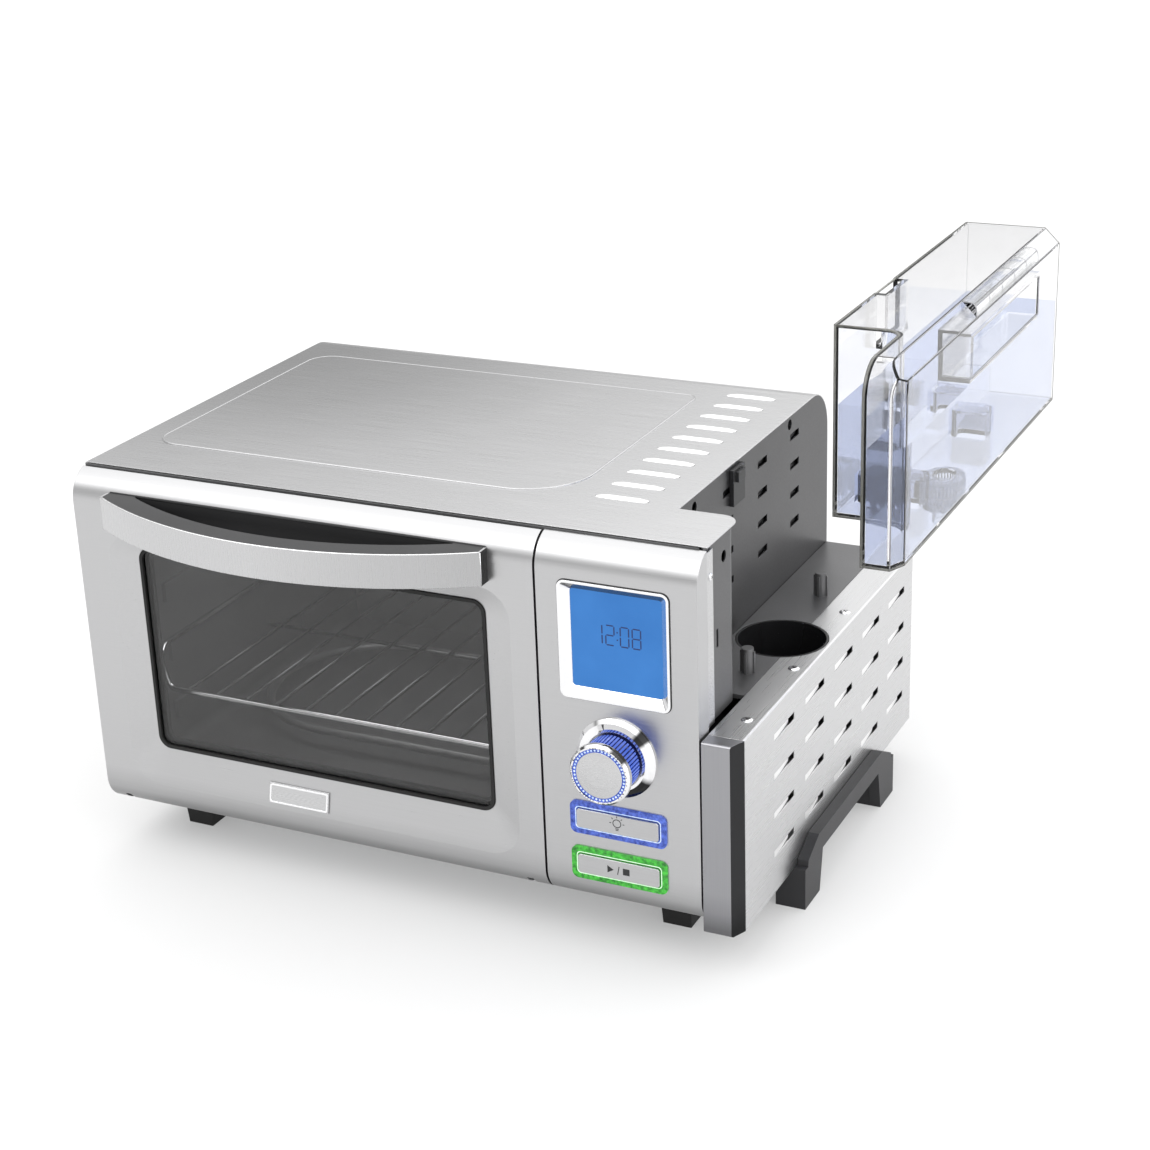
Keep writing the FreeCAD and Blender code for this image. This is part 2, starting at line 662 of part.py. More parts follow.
def base_cover():
    """The folded steel cover of the base beside the control column, with rows of louvres."""
    body = new_body("base_cover")
    skin = S.base_right - S.sheet_metal
    top = S.tray_top - S.sheet_metal
    pad(body, "XZ", (S.chamfer_depth, S.body_depth - 2),
        polygon((S.base_left, top), (skin, top), (skin, S.underside), (S.base_right, S.underside),
                (S.base_right, S.tray_top), (S.base_left, S.tray_top)))
    soften(body, S.edge_round, [(S.base_right, None, S.tray_top)], "y")
    pocket(body, "XY", (top - 1, S.tray_top + 1), circle(S.cup_x, S.cup_y, S.cup_radius + S.gap),
           *[circle(SCREW_X, y, SCREW_SHANK) for y in SCREW_PLACES])
    rows = [rectangle((62.0, 98.0), (56.0 + 27.8 * level, 61.0 + 27.8 * level)) for level in range(4)]
    first = pocket(body, "YZ", (skin - 1, S.base_right + 1), *rows)
    row(body, first, "Y", 227.2, 5)
    keep(body, "base_cover")


def base_front():
    """The base's front end with its slanted corner."""
    body = new_body("base_front")
    left, right = S.base_left, S.base_right
    slant = right - S.chamfer_width
    back = S.chamfer_depth - S.gap
    pad(body, "XY", (S.underside, S.tray_top),
        polygon((left, 0.0), (slant, 0.0), (right, back), (left, back)))
    soften(body, 2.0, [(None, 0.0, S.tray_top), (None, 0.0, S.underside)], "x")
    inset = 1.5
    pocket(body, "XY", (S.underside + inset, S.tray_top - inset),
           polygon((left + inset, inset), (slant - inset, inset), (right - 2 * inset, back + 1),
                   (left + inset, back + 1)))
    keep(body, "base_front")


def side_bracket():
    """The bridge-shaped foot on the outer side of the base."""
    body = new_body("side_bracket")
    front, back = S.bracket_front, S.bracket_back
    leg, top, web = S.bracket_leg, S.bracket_top, S.bracket_web
    lean = 26
    outline = polygon((front, 0.0), (front + leg, 0.0), (front + leg + 6, top - web),
                      (back - leg - 6, top - web), (back - leg, 0.0), (back, 0.0),
                      (back - 6, top - 10), (back - lean, top), (front + lean, top), (front + 6, top - 10))
    pad(body, "YZ", (S.base_right + S.gap, S.bracket_out), outline)
    inner = S.base_right - 13
    for start in (front, back - leg):
        pad(body, "YZ", (inner, S.bracket_out), rectangle((start, start + leg), (0.0, S.underside - S.gap)))
    keep(body, "side_bracket")


def rubber_feet():
    """Four tapered feet under the pan and four round spacers on the back panel."""
    down = Rotation(Vector(1, 0, 0), -90)
    pads = []
    for x in (S.foot_left, S.foot_right):
        for y in (S.foot_front, S.foot_back):
            foot = doc.addObject("Part::Wedge", "Foot")
            for low, high, start, narrow in (("Xmin", "Xmax", x, "X2"), ("Zmin", "Zmax", y, "Z2")):
                tie(foot, low, start)
                tie(foot, high, start + S.foot_size)
                tie(foot, narrow + "min", start + 2)
                tie(foot, narrow + "max", start + S.foot_size - 2)
            tie(foot, "Ymin", 0.0)
            tie(foot, "Ymax", S.underside)
            pads.append(place(foot, 0.0, 0.0, S.underside, down))
    pads += [rod("Spacer", 7.0, (x, S.body_depth, z), S.spacer_reach, down)
             for x in (60.0, 340.0) for z in (70.0, 220.0)]
    keep(grouped("rubber_feet", pads), "rubber_feet")


def cord_gland():
    """The cord's inlet in the back panel, with its bore left open."""
    bore, collar = S.cord_bore, S.cord_bore + 6
    sleeve = S.cord_bore + 3.5 - S.gap
    turned("cord_gland", [(bore, -5.0), (sleeve, -5.0), (sleeve, 0.0), (collar, 0.0), (collar, 4.0),
                          (bore + 2, 5.5), (bore, 5.5)],
           380.0, S.body_depth, S.underside + S.cord_y, Rotation(Vector(1, 0, 0), -90))


# ---------------------------------------------------------------- tank bay

def bay_tray():
    """The moulded floor of the bay, with two short ribbed posts that the tank's floor drops over."""
    body = new_body("bay_floor")
    pad(body, "XY", (S.tray_top - 3, S.tray_top),
        rectangle((S.bay_wall + S.gap, S.base_left - S.gap), (S.bay_front + S.gap, S.body_depth - 2)))
    pocket(body, "XY", (S.tray_top - 4, S.tray_top + 1), circle(S.cup_x, S.cup_y, S.cup_radius + S.gap))
    pieces = [body]
    low = S.tray_top - 1
    for y in (S.post_front, S.post_back):
        pieces.append(rod("Core", S.post_radius - 1, (S.post_x, y, low), S.post_height + 1))
        across = (S.post_x - S.post_radius, S.post_x + S.post_radius)
        along = (y - S.post_radius, y + S.post_radius)
        top = S.tray_top + S.post_height - 2
        pieces.append(block("Rib", across, (y - 0.8, y + 0.8), (low, top)))
        pieces.append(block("Rib", (S.post_x - 0.8, S.post_x + 0.8), along, (low, top)))
    keep(joined("bay_tray", pieces), "bay_tray")


def tank_catch():
    """A moulded hook on the bay wall that holds the tank's rim."""
    body = new_body("tank_catch")
    wall = S.bay_wall + S.gap / 3
    pad(body, "YZ", (wall, wall + 3), rectangle((156.0, 176.0), (256.0, 281.0)))
    pad(body, "YZ", (wall, wall + 5), rectangle((160.0, 172.0), (272.0, 279.0)))
    keep(body, "tank_catch")


def valve_cup():
    """The round well that takes the tank's cap, with the pin that opens its valve."""
    r, wall, deep = S.cup_radius, S.cup_wall, S.cup_depth
    well = turned("Well", [(0.0, 0.0), (r, 0.0), (r, deep), (r - wall, deep), (r - wall, wall), (0.0, wall)],
                  S.cup_x, S.cup_y, S.tray_top - deep, Rotation(), False)
    floor = S.tray_top - deep
    tip = S.tank_floor - S.cap_height + 3.5
    pin = rod("Pin", S.valve_pin, (S.cap_x, S.cup_y, floor + wall / 2), tip - floor - wall / 2)
    nipple = rod("Nipple", S.hose_radius - 1, (S.cup_x - 8, S.cup_y, floor - 9), 9.5)
    keep(joined("valve_cup", [well, pin, nipple]), "valve_cup")


# ---------------------------------------------------------------- front skins

def front_shell(name, x, back, window=None):
    """A steel front rolled over at the top and bottom, hollow behind, and dished around a window."""
    body = new_body(name)
    left, right = x
    low, high = S.front_underside, COVER_UNDER - 0.5
    deep = S.front_round + 4
    wall = S.front_wall
    pad(body, "YZ", x, polygon((0.0, low), (deep, low), (deep, high), (0.0, high)))
    soften(body, S.front_round, [(None, 0.0, low), (None, 0.0, high)], "x")
    pocket(body, "YZ", (left + wall, right - wall),
           pane((wall, deep + 2 * S.front_round), (low + wall, high - wall), S.front_round - wall))
    pocket(body, "XZ", (back, deep + 1), rectangle((left - 1, right + 1), (low - 1, high + 1)))
    if window:
        sunk = S.dish_depth
        grown = [(window[0][0] - S.dish_side, window[0][1] + S.dish_side),
                 (window[1][0] - S.dish_low, window[1][1] + S.dish_high)]
        loft(body, "Additive", "XZ", [(wall / 2, pane(*grown, S.dish_round)),
                                      (sunk + wall, pane((window[0][0] - 3, window[0][1] + 3),
                                                         (window[1][0] - 3, window[1][1] + 3), S.window_round + 3))])
        loft(body, "Subtractive", "XZ", [(0.0, pane(*grown, S.dish_round)),
                                         (sunk, pane(*window, S.window_round))])
    return body


def door_skin():
    window = ((S.window_left, S.window_right), (S.window_low, S.window_high))
    body = front_shell("door_skin", (0.0, S.door_right), S.front_depth, window)
    pocket(body, "XZ", (S.dish_depth - 1, S.front_depth), pane(*window, S.window_round))
    # Slots in the bottom edge that clear the hinge brackets while the door swings.
    for left in hinge_lefts():
        pocket(body, "XZ", (S.hinge_y - 6, S.front_depth + 1),
               rectangle((left - 1, left + S.hinge_plate + 1), (S.front_underside - 1, S.front_underside + 9.5)))
    for x in handle_screw_places():
        pocket(body, "XZ", (-1.0, S.front_wall + 1), circle(x, S.handle_low + 8, 2.3))
    keep(body, "door_skin")


def control_panel():
    body = front_shell("control_panel", (PANEL_LEFT, S.panel_right), S.frame_face)
    grow = -1.5
    cut_x, cut_z = display_span(grow)
    pocket(body, "XZ", (-1.0, S.front_wall + 1), pane(cut_x, cut_z, S.display_round - 1))
    for low in (S.light_key_low, S.start_key_low):
        pocket(body, "XZ", (-1.0, S.front_wall + 1), pane(*key_span(low, -0.8), S.key_round - 0.8))
    pocket(body, "XZ", (-1.0, S.front_wall + 1), circle(S.dial_x, S.dial_z, 9.0))
    bosses = [circle(x, z, 2.8) for x in (PANEL_LEFT + 6, S.panel_right - 14) for z in (76.0, 168.0, 250.0)]
    for boss in bosses:
        pad(body, "XZ", (S.front_wall / 2, S.board_face), boss)
    keep(body, "control_panel")


def display_span(grow):
    return ((S.display_left - grow, S.display_right + grow), (S.display_low - grow, S.display_high + grow))


def key_span(low, grow):
    return ((S.key_left - grow, S.key_right + grow), (low - grow, low + S.key_height + grow))


def hinge_lefts():
    return [S.hinge_inset, S.door_right - S.hinge_inset - S.hinge_plate]


def handle_screw_places():
    return [S.handle_left + S.grip_end / 2, S.handle_right - S.grip_end / 2]


# ---------------------------------------------------------------- door

def door_inner():
    """The door's inner panel with the frame that holds the glass, the glass, its gasket and the door seal."""
    sunk = S.dish_depth + S.front_wall
    panel = new_body("InnerPanel")
    wall = S.front_wall + S.gap
    pad(panel, "XZ", (S.front_depth - 1, S.front_depth - 0.2),
        rectangle((wall, S.door_right - wall), (54.0, COVER_UNDER - 6)),
        pane((S.window_left + 6, S.window_right - 6), (S.window_low + 6, S.window_high - 6), S.window_round - 4))
    retainer = new_body("Retainer")
    pad(retainer, "XZ", (sunk + S.glass, S.front_depth - 0.8),
        pane((S.window_left - 6, S.window_right + 6), (S.window_low - 6, S.window_high + 6), S.window_round + 3),
        pane((S.window_left + 4, S.window_right - 4), (S.window_low + 4, S.window_high - 4), S.window_round - 3))
    keep(joined("door_inner_panel", [panel, retainer]), "door_inner_panel")

    body = new_body("door_glass")
    pad(body, "XZ", (sunk, sunk + S.glass),
        pane((S.window_left - 5, S.window_right + 5), (S.window_low - 5, S.window_high + 5), S.window_round + 2))
    keep(body, "door_glass")

    body = new_body("window_gasket")
    edge = 2.4
    pad(body, "XZ", (S.dish_depth - 0.6, sunk),
        pane((S.window_left + S.gap / 3, S.window_right - S.gap / 3),
             (S.window_low + S.gap / 3, S.window_high - S.gap / 3), S.window_round),
        pane((S.window_left + edge, S.window_right - edge), (S.window_low + edge, S.window_high - edge),
             S.window_round - 2))
    keep(body, "window_gasket")

    body = new_body("door_seal")
    pad(body, "XZ", (S.front_depth - 0.2, S.frame_face - S.gap),
        pane((S.cavity_left - 8, S.cavity_right + 8), (S.cavity_low - 6, S.cavity_high + 8), S.cavity_round + 6),
        pane((S.cavity_left - 3, S.cavity_right + 3), (S.cavity_low - 2, S.cavity_high + 3), S.cavity_round + 2))
    keep(body, "door_seal")


def bow_radius(reach):
    """Radius of the handle's bow for a given height of its arc over its half length."""
    half = (S.handle_right - S.handle_left) / 2
    return (half * half + reach * reach) / (2 * reach)


def handle():
    """A bowed steel strip on a dark grip, with a finger gap between the grip and the door."""
    middle = (S.handle_left + S.handle_right) / 2
    half = (S.handle_right - S.handle_left) / 2
    sweep = S.handle_reach - S.handle_end

    def bow(name, inset, ends, floor):
        """The half-moon between the bow, drawn in by inset, and the plane y = -floor."""
        radius = bow_radius(sweep)
        disc = rod("Bow", radius - inset, (middle, radius - S.handle_reach, S.handle_low), S.handle_height)
        bar = block("Bar", (middle - half + ends, middle + half - ends), (-S.handle_reach - 1, -floor),
                    (S.handle_low, HANDLE_HIGH))
        moon = doc.addObject("Part::Common", name)
        moon.Base = disc
        moon.Tool = bar
        return moon

    skin = S.handle_skin
    # The gap behind the band is what a hand reaches into, from above and from below.
    hollow_left = S.handle_left + S.grip_end
    hollow_right = S.handle_right - S.grip_end
    room = block("Room", (hollow_left, hollow_right), (-S.handle_reach, 1.0), (S.handle_low - 1, HANDLE_HIGH + 1))
    inner_sweep = sweep - S.grip_band + S.handle_end - 3
    inner_half = (hollow_right - hollow_left) / 2
    inner_radius = (inner_half * inner_half + inner_sweep * inner_sweep) / (2 * inner_sweep)
    inner_front = S.handle_reach - S.grip_band - skin
    inner_disc = rod("InnerBow", inner_radius, (middle, inner_radius - inner_front, S.handle_low - 1), S.handle_height + 2)
    finger_gap = doc.addObject("Part::Common", "FingerGap")
    finger_gap.Base = inner_disc
    finger_gap.Tool = room
    grip = cut("handle_grip", bow("GripBow", skin, skin, 0.0), [finger_gap] + handle_screw_holes())
    keep(grip, "handle_grip")
    strip = cut("handle_strip", bow("StripBow", 0.0, 0.0, 0.0), [bow("StripCore", skin, skin, -1.0)])
    keep(strip, "handle_strip")


def handle_screw_holes():
    """Blind holes in the grip's ends for the two screws from inside the door."""
    return [rod("ScrewHole", 2.1, (x, 0.5, S.handle_low + 8), 7.5, OUT_FRONT) for x in handle_screw_places()]


def handle_screws():
    screws = []
    for x in handle_screw_places():
        shank = rod("Shank", 2.0, (x, S.front_wall + 0.1, S.handle_low + 8), S.front_wall + 6, OUT_FRONT)
        head = rod("Head", 4.0, (x, S.front_wall + 3.1, S.handle_low + 8), 3.0, OUT_FRONT)
        screws.append(joined("Screw", [shank, head]))
    keep(grouped("handle_screws", screws), "handle_screws")


def door_badge():
    """A blank plate on the sloping border under the window."""
    slope = slope_angle(S.dish_depth, S.dish_low)
    piece = doc.addObject("Part::Box", "door_badge")
    tie(piece, "Length", S.badge_length)
    tie(piece, "Width", S.badge_thick)
    tie(piece, "Height", S.badge_height)
    sunk = (S.badge_low - (S.window_low - S.dish_low)) * S.dish_depth / S.dish_low
    piece.Placement = Placement(Vector(0, 0, 0), Rotation(Vector(-1, 0, 0), float(slope)))
    piece.Label = "door_badge"
    subparts["door_badge"] = piece
    place(piece, LEFT + S.badge_left, FRONT + sunk - S.badge_thick - S.gap, S.badge_low)
    tie(piece, "Placement.Rotation.Angle", slope)


def hinges():
    """A bracket with a pin at each end of the door, and the door's cheek that turns on it."""
    brackets = []
    cheeks = []
    nose_radius = S.hinge_pin + 1.5
    for left, side in zip(hinge_lefts(), (1, -1)):
        right = left + S.hinge_plate
        foot = block("Foot", (left, right), (S.hinge_y + 7, 40.0), (PAN_TOP, S.hinge_z + 5))
        arm = block("Arm", (left, right), (S.hinge_y, S.hinge_y + 8), (S.hinge_z - 4, S.hinge_z + 4))
        nose = rod("Nose", nose_radius, (left, S.hinge_y, S.hinge_z), S.hinge_plate, OUT_RIGHT)
        start = right if side > 0 else left - S.hinge_cheek
        pin = rod("Pin", S.hinge_pin, (start - 1, S.hinge_y, S.hinge_z), S.hinge_cheek + 2, OUT_RIGHT)
        brackets.append(joined("Bracket", [foot, arm, nose, pin]))
        near = right + S.gap if side > 0 else left - S.gap - S.hinge_cheek
        slab = block("Slab", (near, near + S.hinge_cheek), (S.hinge_y - 4, S.front_depth - 1),
                     (S.hinge_z, S.hinge_z + 22))
        eye = rod("Eye", nose_radius, (near, S.hinge_y, S.hinge_z), S.hinge_cheek, OUT_RIGHT)
        bore = rod("Bore", S.hinge_pin + S.running, (near - 1, S.hinge_y, S.hinge_z), S.hinge_cheek + 2, OUT_RIGHT)
        cheeks.append(cut("Cheek", joined("CheekBlank", [slab, eye]), [bore]))
    keep(grouped("hinge_brackets", brackets), "hinge_brackets")
    keep(grouped("hinge_cheeks", cheeks), "hinge_cheeks")


# ---------------------------------------------------------------- chamber

def chamber():
    body = new_body("chamber")
    wall = S.sheet_metal
    outer = pane((S.cavity_left - wall, S.cavity_right + wall), (S.cavity_low - wall, S.cavity_high + wall),
                 S.cavity_round + wall)
    inner = pane((S.cavity_left, S.cavity_right), (S.cavity_low, S.cavity_high), S.cavity_round)
    pad(body, "XZ", (FRAME_BACK, S.cavity_back), outer)
    pocket(body, "XZ", (FRAME_BACK - 1, S.cavity_back - wall), inner)
    for x in ((S.cavity_left - wall / 2, S.cavity_left + S.guide_rise),
              (S.cavity_right - S.guide_rise, S.cavity_right + wall / 2)):
        for level in range(3):
            top = S.guide_low + S.guide_pitch * level
            for start in (S.guide_front, S.guide_front + S.guide_spread):
                pad(body, "YZ", x, rectangle((start, start + S.guide_length), (top - S.guide_height, top)))
    right = (S.cavity_right - 1, S.cavity_right + wall + 1)
    pocket(body, "YZ", right, circle(S.fan_y, S.fan_z, S.fan_mouth), circle(S.lamp_y, S.lamp_z, S.lamp_radius - 3),
           circle(250.0, 112.0, 4.4))
    tube = S.heater_tube + S.gap
    pocket(body, "YZ", right, *[circle(y, z, tube) for y in (S.heater_front, S.heater_back) for z in heater_levels()])
    keep(body, "chamber")


def heater_levels():
    return [S.cavity_low + 14, S.cavity_high - 14]


def heating_elements():
    """One hairpin element under the rack and one above it, with their ends in the right wall."""
    hairpins = []
    for level in heater_levels():
        body = new_body("Hairpin")
        turn = (S.heater_back - S.heater_front) / 2
        path = sketch_on(body, "XY", level)
        end = S.cavity_right + 8
        bend = S.heater_left + turn
        front, back = S.heater_front, S.heater_back
        first = path.addGeometry(Part.LineSegment(Vector(float(end), float(front), 0), Vector(float(bend), float(front), 0)), False)
        ring = Part.Circle(Vector(float(bend), float(front + turn), 0), Vector(0, 0, 1), float(turn))
        arc = path.addGeometry(Part.ArcOfCircle(ring, math.pi / 2, 3 * math.pi / 2), False)
        last = path.addGeometry(Part.LineSegment(Vector(float(bend), float(back), 0), Vector(float(end), float(back), 0)), False)
        path.addConstraint(Sketcher.Constraint("Tangent", first, 2, arc, 2))
        path.addConstraint(Sketcher.Constraint("Tangent", arc, 1, last, 1))
        pin_point(path, first, 1, end, front)
        pin_point(path, last, 2, end, back)
        path.addConstraint(Sketcher.Constraint("Horizontal", first))
        index = path.addConstraint(Sketcher.Constraint("DistanceX", -1, 1, arc, 3, float(bend)))
        tie(path, f"Constraints[{index}]", bend)
        section = sketch_on(body, "YZ", end)
        circle(front, level, S.heater_tube)(section)
        pipe = body.newObject("PartDesign::AdditivePipe", "Tube")
        pipe.Profile = section
        pipe.Spine = path
        hairpins.append(body)
    keep(grouped("heating_elements", hairpins), "heating_elements")


def fan():
    """The convection fan: grille on the chamber wall, can, motor, shaft and impeller."""
    wall = CAVITY_SHEET_RIGHT
    deep = S.fan_can_depth
    turned("fan_can", [(S.fan_shaft + 1, deep - 0.8), (S.fan_can - 0.8, deep - 0.8), (S.fan_can - 0.8, 0.0),
                       (S.fan_can, 0.0), (S.fan_can, deep), (S.fan_shaft + 1, deep)],
           wall, S.fan_y, S.fan_z, OUT_RIGHT)
    bearing = S.fan_shaft + S.running
    turned("fan_motor", [(bearing, 0.0), (S.motor_radius, 0.0), (S.motor_radius, S.motor_length),
                         (0.0, S.motor_length), (0.0, 16.0), (bearing, 16.0)],
           wall + deep, S.fan_y, S.fan_z, OUT_RIGHT)
    shaft = rod("Shaft", S.fan_shaft, (wall + 5, S.fan_y, S.fan_z), deep + 9, OUT_RIGHT)

    body = new_body("Wheel")
    hub = 9.0
    pad(body, "XY", (0.0, 1.0), circle(0.0, 0.0, S.fan_tip))
    pad(body, "XY", (0.0, 10.0), circle(0.0, 0.0, hub))
    blade = pad(body, "XY", (0.5, 11.0), rectangle((hub + 3, S.fan_tip - 1), (-0.8, 0.8)))
    ring_of(body, blade, S.fan_blades)
    place(body, wall + 4.5, S.fan_y, S.fan_z, OUT_RIGHT)
    keep(joined("fan_impeller", [body, shaft]), "fan_impeller")

    body = new_body("fan_grille")
    pad(body, "XY", (0.0, S.sheet_metal), circle(0.0, 0.0, S.fan_can - 1.2))
    slot = pocket(body, "XY", (-1.0, 2.0), pane((14.0, S.fan_mouth - 5), (-2.2, 2.2), 2.0))
    ring_of(body, slot, 16)
    keep(body, "fan_grille", LEFT + wall, FRONT + S.fan_y, S.fan_z, OUT_RIGHT)


def lamp():
    turned("lamp_lens", [(0.0, 0.0), (S.lamp_radius, 0.0), (S.lamp_radius - 2, -3.0), (0.0, -4.0)],
           S.cavity_right, S.lamp_y, S.lamp_z, OUT_RIGHT)
    turned("lamp_holder", [(0.0, 0.0), (S.lamp_radius, 0.0), (S.lamp_radius, 8.0), (10.0, 10.0),
                           (10.0, 20.0), (0.0, 20.0)],
           CAVITY_SHEET_RIGHT, S.lamp_y, S.lamp_z, OUT_RIGHT)


def rack():
    """The wire rack: two rails in the guides, a lower grid of bars, and front and rear wires."""
    body = new_body("wire_rack")
    left = S.cavity_left + S.rack_wire + 1
    right = S.cavity_right - S.rack_wire - 1
    step = 9
    bars = S.rack_bars
    first_x, last_x = left + step + 14, right - step - 14
    pad(body, "XZ", (S.rack_front, S.rack_back), circle(left, RAIL_Z, S.rack_wire), circle(right, RAIL_Z, S.rack_wire))
    for y in (S.rack_front, S.rack_back):
        for x, lean in ((left, 1), (right, -1)):
            upright = rack_upright(x + lean * 1.2, x + lean * step, lean)
            pad(body, "XZ", (y - S.rack_wire * 0.8, y + S.rack_wire * 0.8), upright)
        pad(body, "YZ", (left + step - 1, right - step + 1), circle(y, RACK_Z, S.rack_wire))
    thin = pad(body, "XZ", (S.rack_front, S.rack_back), circle(first_x, RACK_Z, S.rack_bar))
    row(body, thin, "X", last_x - first_x, bars)
    keep(body, "wire_rack")


def rack_upright(start, end, lean):
    """The rack wire's slanting rise from the grid to the rail, as a flat-sided bar."""
    half = lean * S.rack_wire * 0.73
    return polygon((start - half, RAIL_Z), (start + half, RAIL_Z), (end + half, RACK_Z), (end - half, RACK_Z))


# ---------------------------------------------------------------- controls

def display():
    rim = display_span(0.0)
    sleeve = display_span(-2.0)
    glass = display_span(-S.display_border)
    body = new_body("display_frame")
    pad(body, "XZ", (-S.display_lip, 0.0), pane(*rim, S.display_round))
    pad(body, "XZ", (-S.display_lip / 2, S.display_sink), pane(*sleeve, S.display_round - 2))
    loft(body, "Subtractive", "XZ", [(-S.display_lip - 0.01, pane(*display_span(-1.6), S.display_round - 1.6)),
                                     (S.display_sink + 0.01, pane(*glass, 2.0))])
    keep(body, "display_frame")

    body = new_body("display_glass")
    sunk = S.display_sink
    pad(body, "XZ", (sunk, sunk + 1.5), pane(*sleeve, S.display_round - 2))
    keep(body, "display_glass")
    (left, right), (low, high) = sleeve
    keep_block("display_module", (left, right), (sunk + 1.5, S.board_face), (low, high))


def boards():
    body = new_body("Board")
    pad(body, "XZ", (S.board_face, S.board_face + S.board_thick),
        rectangle((PANEL_LEFT + 2.5, S.panel_right - 6), (56.0, 262.0)))
    switches = []
    for low in (S.light_key_low, S.start_key_low):
        x = (S.key_left + S.key_right) / 2
        z = low + S.key_height / 2
        switches.append(block("Switch", (x - 4, x + 4), (KEY_STEM_END + S.key_travel + S.gap, S.board_face + 0.5),
                              (z - 4, z + 4)))
    keep(joined("control_board", [body] + switches), "control_board")

    body = new_body("power_board")
    level = PAN_TOP + 8
    board = S.board_thick
    pad(body, "XY", (level, level + board), rectangle((335.0, 403.0), (80.0, 208.0)))
    for x, y, high in (((340.0, 368.0), (88.0, 122.0), 26.0), ((374.0, 396.0), (90.0, 118.0), 20.0),
                       ((342.0, 360.0), (132.0, 160.0), 18.0), ((368.0, 398.0), (130.0, 176.0), 24.0)):
        pad(body, "XY", (level + board / 2, level + board + high), rectangle(x, y))
    pad(body, "XY", (PAN_TOP, level + board / 2),
        *[circle(x, y, 2.5) for x in (339.0, 399.0) for y in (84.0, 204.0)])
    keep(body, "power_board")


def dial():
    """The dial: a fixed ring, and a knob that turns on its encoder and presses in."""
    ring, rise = S.dial_ring, S.dial_ring_rise
    inner = S.dial_barrel + 1
    turned("dial_ring", [(inner, 0.0), (ring, 0.0), (ring, 1.2), (ring - 2.5, rise - 1), (inner + 2, rise),
                         (inner, rise)],
           S.dial_x, 0.0, S.dial_z, OUT_FRONT)

    body = new_body("dial_encoder")
    half = 6.5
    front, back = 12.0, S.board_face
    room = S.dial_shaft + S.running
    pad(body, "XZ", (front, back), rectangle((S.dial_x - half, S.dial_x + half), (S.dial_z - half, S.dial_z + half)))
    pad(body, "XZ", (3.0, front + 1), circle(S.dial_x, S.dial_z, 4.8))
    pocket(body, "XZ", (2.0, front + 7), circle(S.dial_x, S.dial_z, room))
    pocket(body, "XZ", (front + 6.9, back - 1.5), circle(S.dial_x, S.dial_z, 4.8))
    keep(body, "dial_encoder")
    keep(rod("Plunger", 4.4, (0.0, 0.0, 0.0), 1.2), "encoder_plunger",
         LEFT + S.dial_x, FRONT + front + 8.5, S.dial_z, OUT_FRONT)

    low = rise + 0.5 + S.dial_travel
    shaft = rod("Shaft", S.dial_shaft, (S.dial_x, front + 7, S.dial_z), front + 7 + low + 9, OUT_FRONT)

    high = S.dial_length - 4.5
    body = new_body("Barrel")
    pad(body, "XY", (low, high), circle(0.0, 0.0, S.dial_barrel - 1))
    rib = pad(body, "XY", (low, high), rectangle((S.dial_barrel - 2, S.dial_barrel), (-0.7, 0.7)))
    ring_of(body, rib, 48)
    place(body, S.dial_x, 0.0, S.dial_z, OUT_FRONT)
    keep(joined("dial_barrel", [body, shaft]), "dial_barrel")

    face, cap, end = S.dial_face, S.dial_cap, S.dial_length
    turned("dial_bezel", [(cap + 2.6, high), (face, high), (face, end - 1.6), (face - 1.4, end), (cap + 2.6, end)],
           S.dial_x, 0.0, S.dial_z, OUT_FRONT)
    turned("dial_light_ring", [(cap, high), (cap + 2.6, high), (cap + 2.6, end - 0.6), (cap, end - 0.6)],
           S.dial_x, 0.0, S.dial_z, OUT_FRONT)
    turned("dial_cap", [(0.0, high), (cap, high), (cap, end - 0.4), (cap - 2, end), (cap / 2, end + 0.9), (0.0, end + 1.2)],
           S.dial_x, 0.0, S.dial_z, OUT_FRONT)


def key(name, frame_name, low):
    """A pressing key and the glowing frame around it."""
    body = new_body(frame_name)
    lens = S.key_border - S.gap
    outer, hole = key_span(low, 0.0), key_span(low, -lens)
    pad(body, "XZ", (-S.key_rise, 0.0), pane(*outer, S.key_round), pane(*hole, S.key_round - 2.5))
    pad(body, "XZ", (-S.key_rise / 2, 5.0), pane(*key_span(low, -1.1), S.key_round - 1.1),
        pane(*hole, S.key_round - 2.5))
    keep(body, frame_name)

    body = new_body(name)
    face = key_span(low, -S.key_border - S.gap)
    (left, right), (bottom, top) = face
    pad(body, "XZ", (-S.key_rise - 1.4, 7.0), pane(*face, S.key_round - 2.5))
    edges = [(None, -S.key_rise - 1.4, None)]
    soften(body, 0.5, edges, None)
    pad(body, "XZ", (6.0, KEY_STEM_END), circle((left + right) / 2, (bottom + top) / 2, 2.5))
    keep(body, name)


def keys():
    key("light_key", "light_key_frame", S.light_key_low)
    key("start_key", "start_key_frame", S.start_key_low)


# ---------------------------------------------------------------- steam works

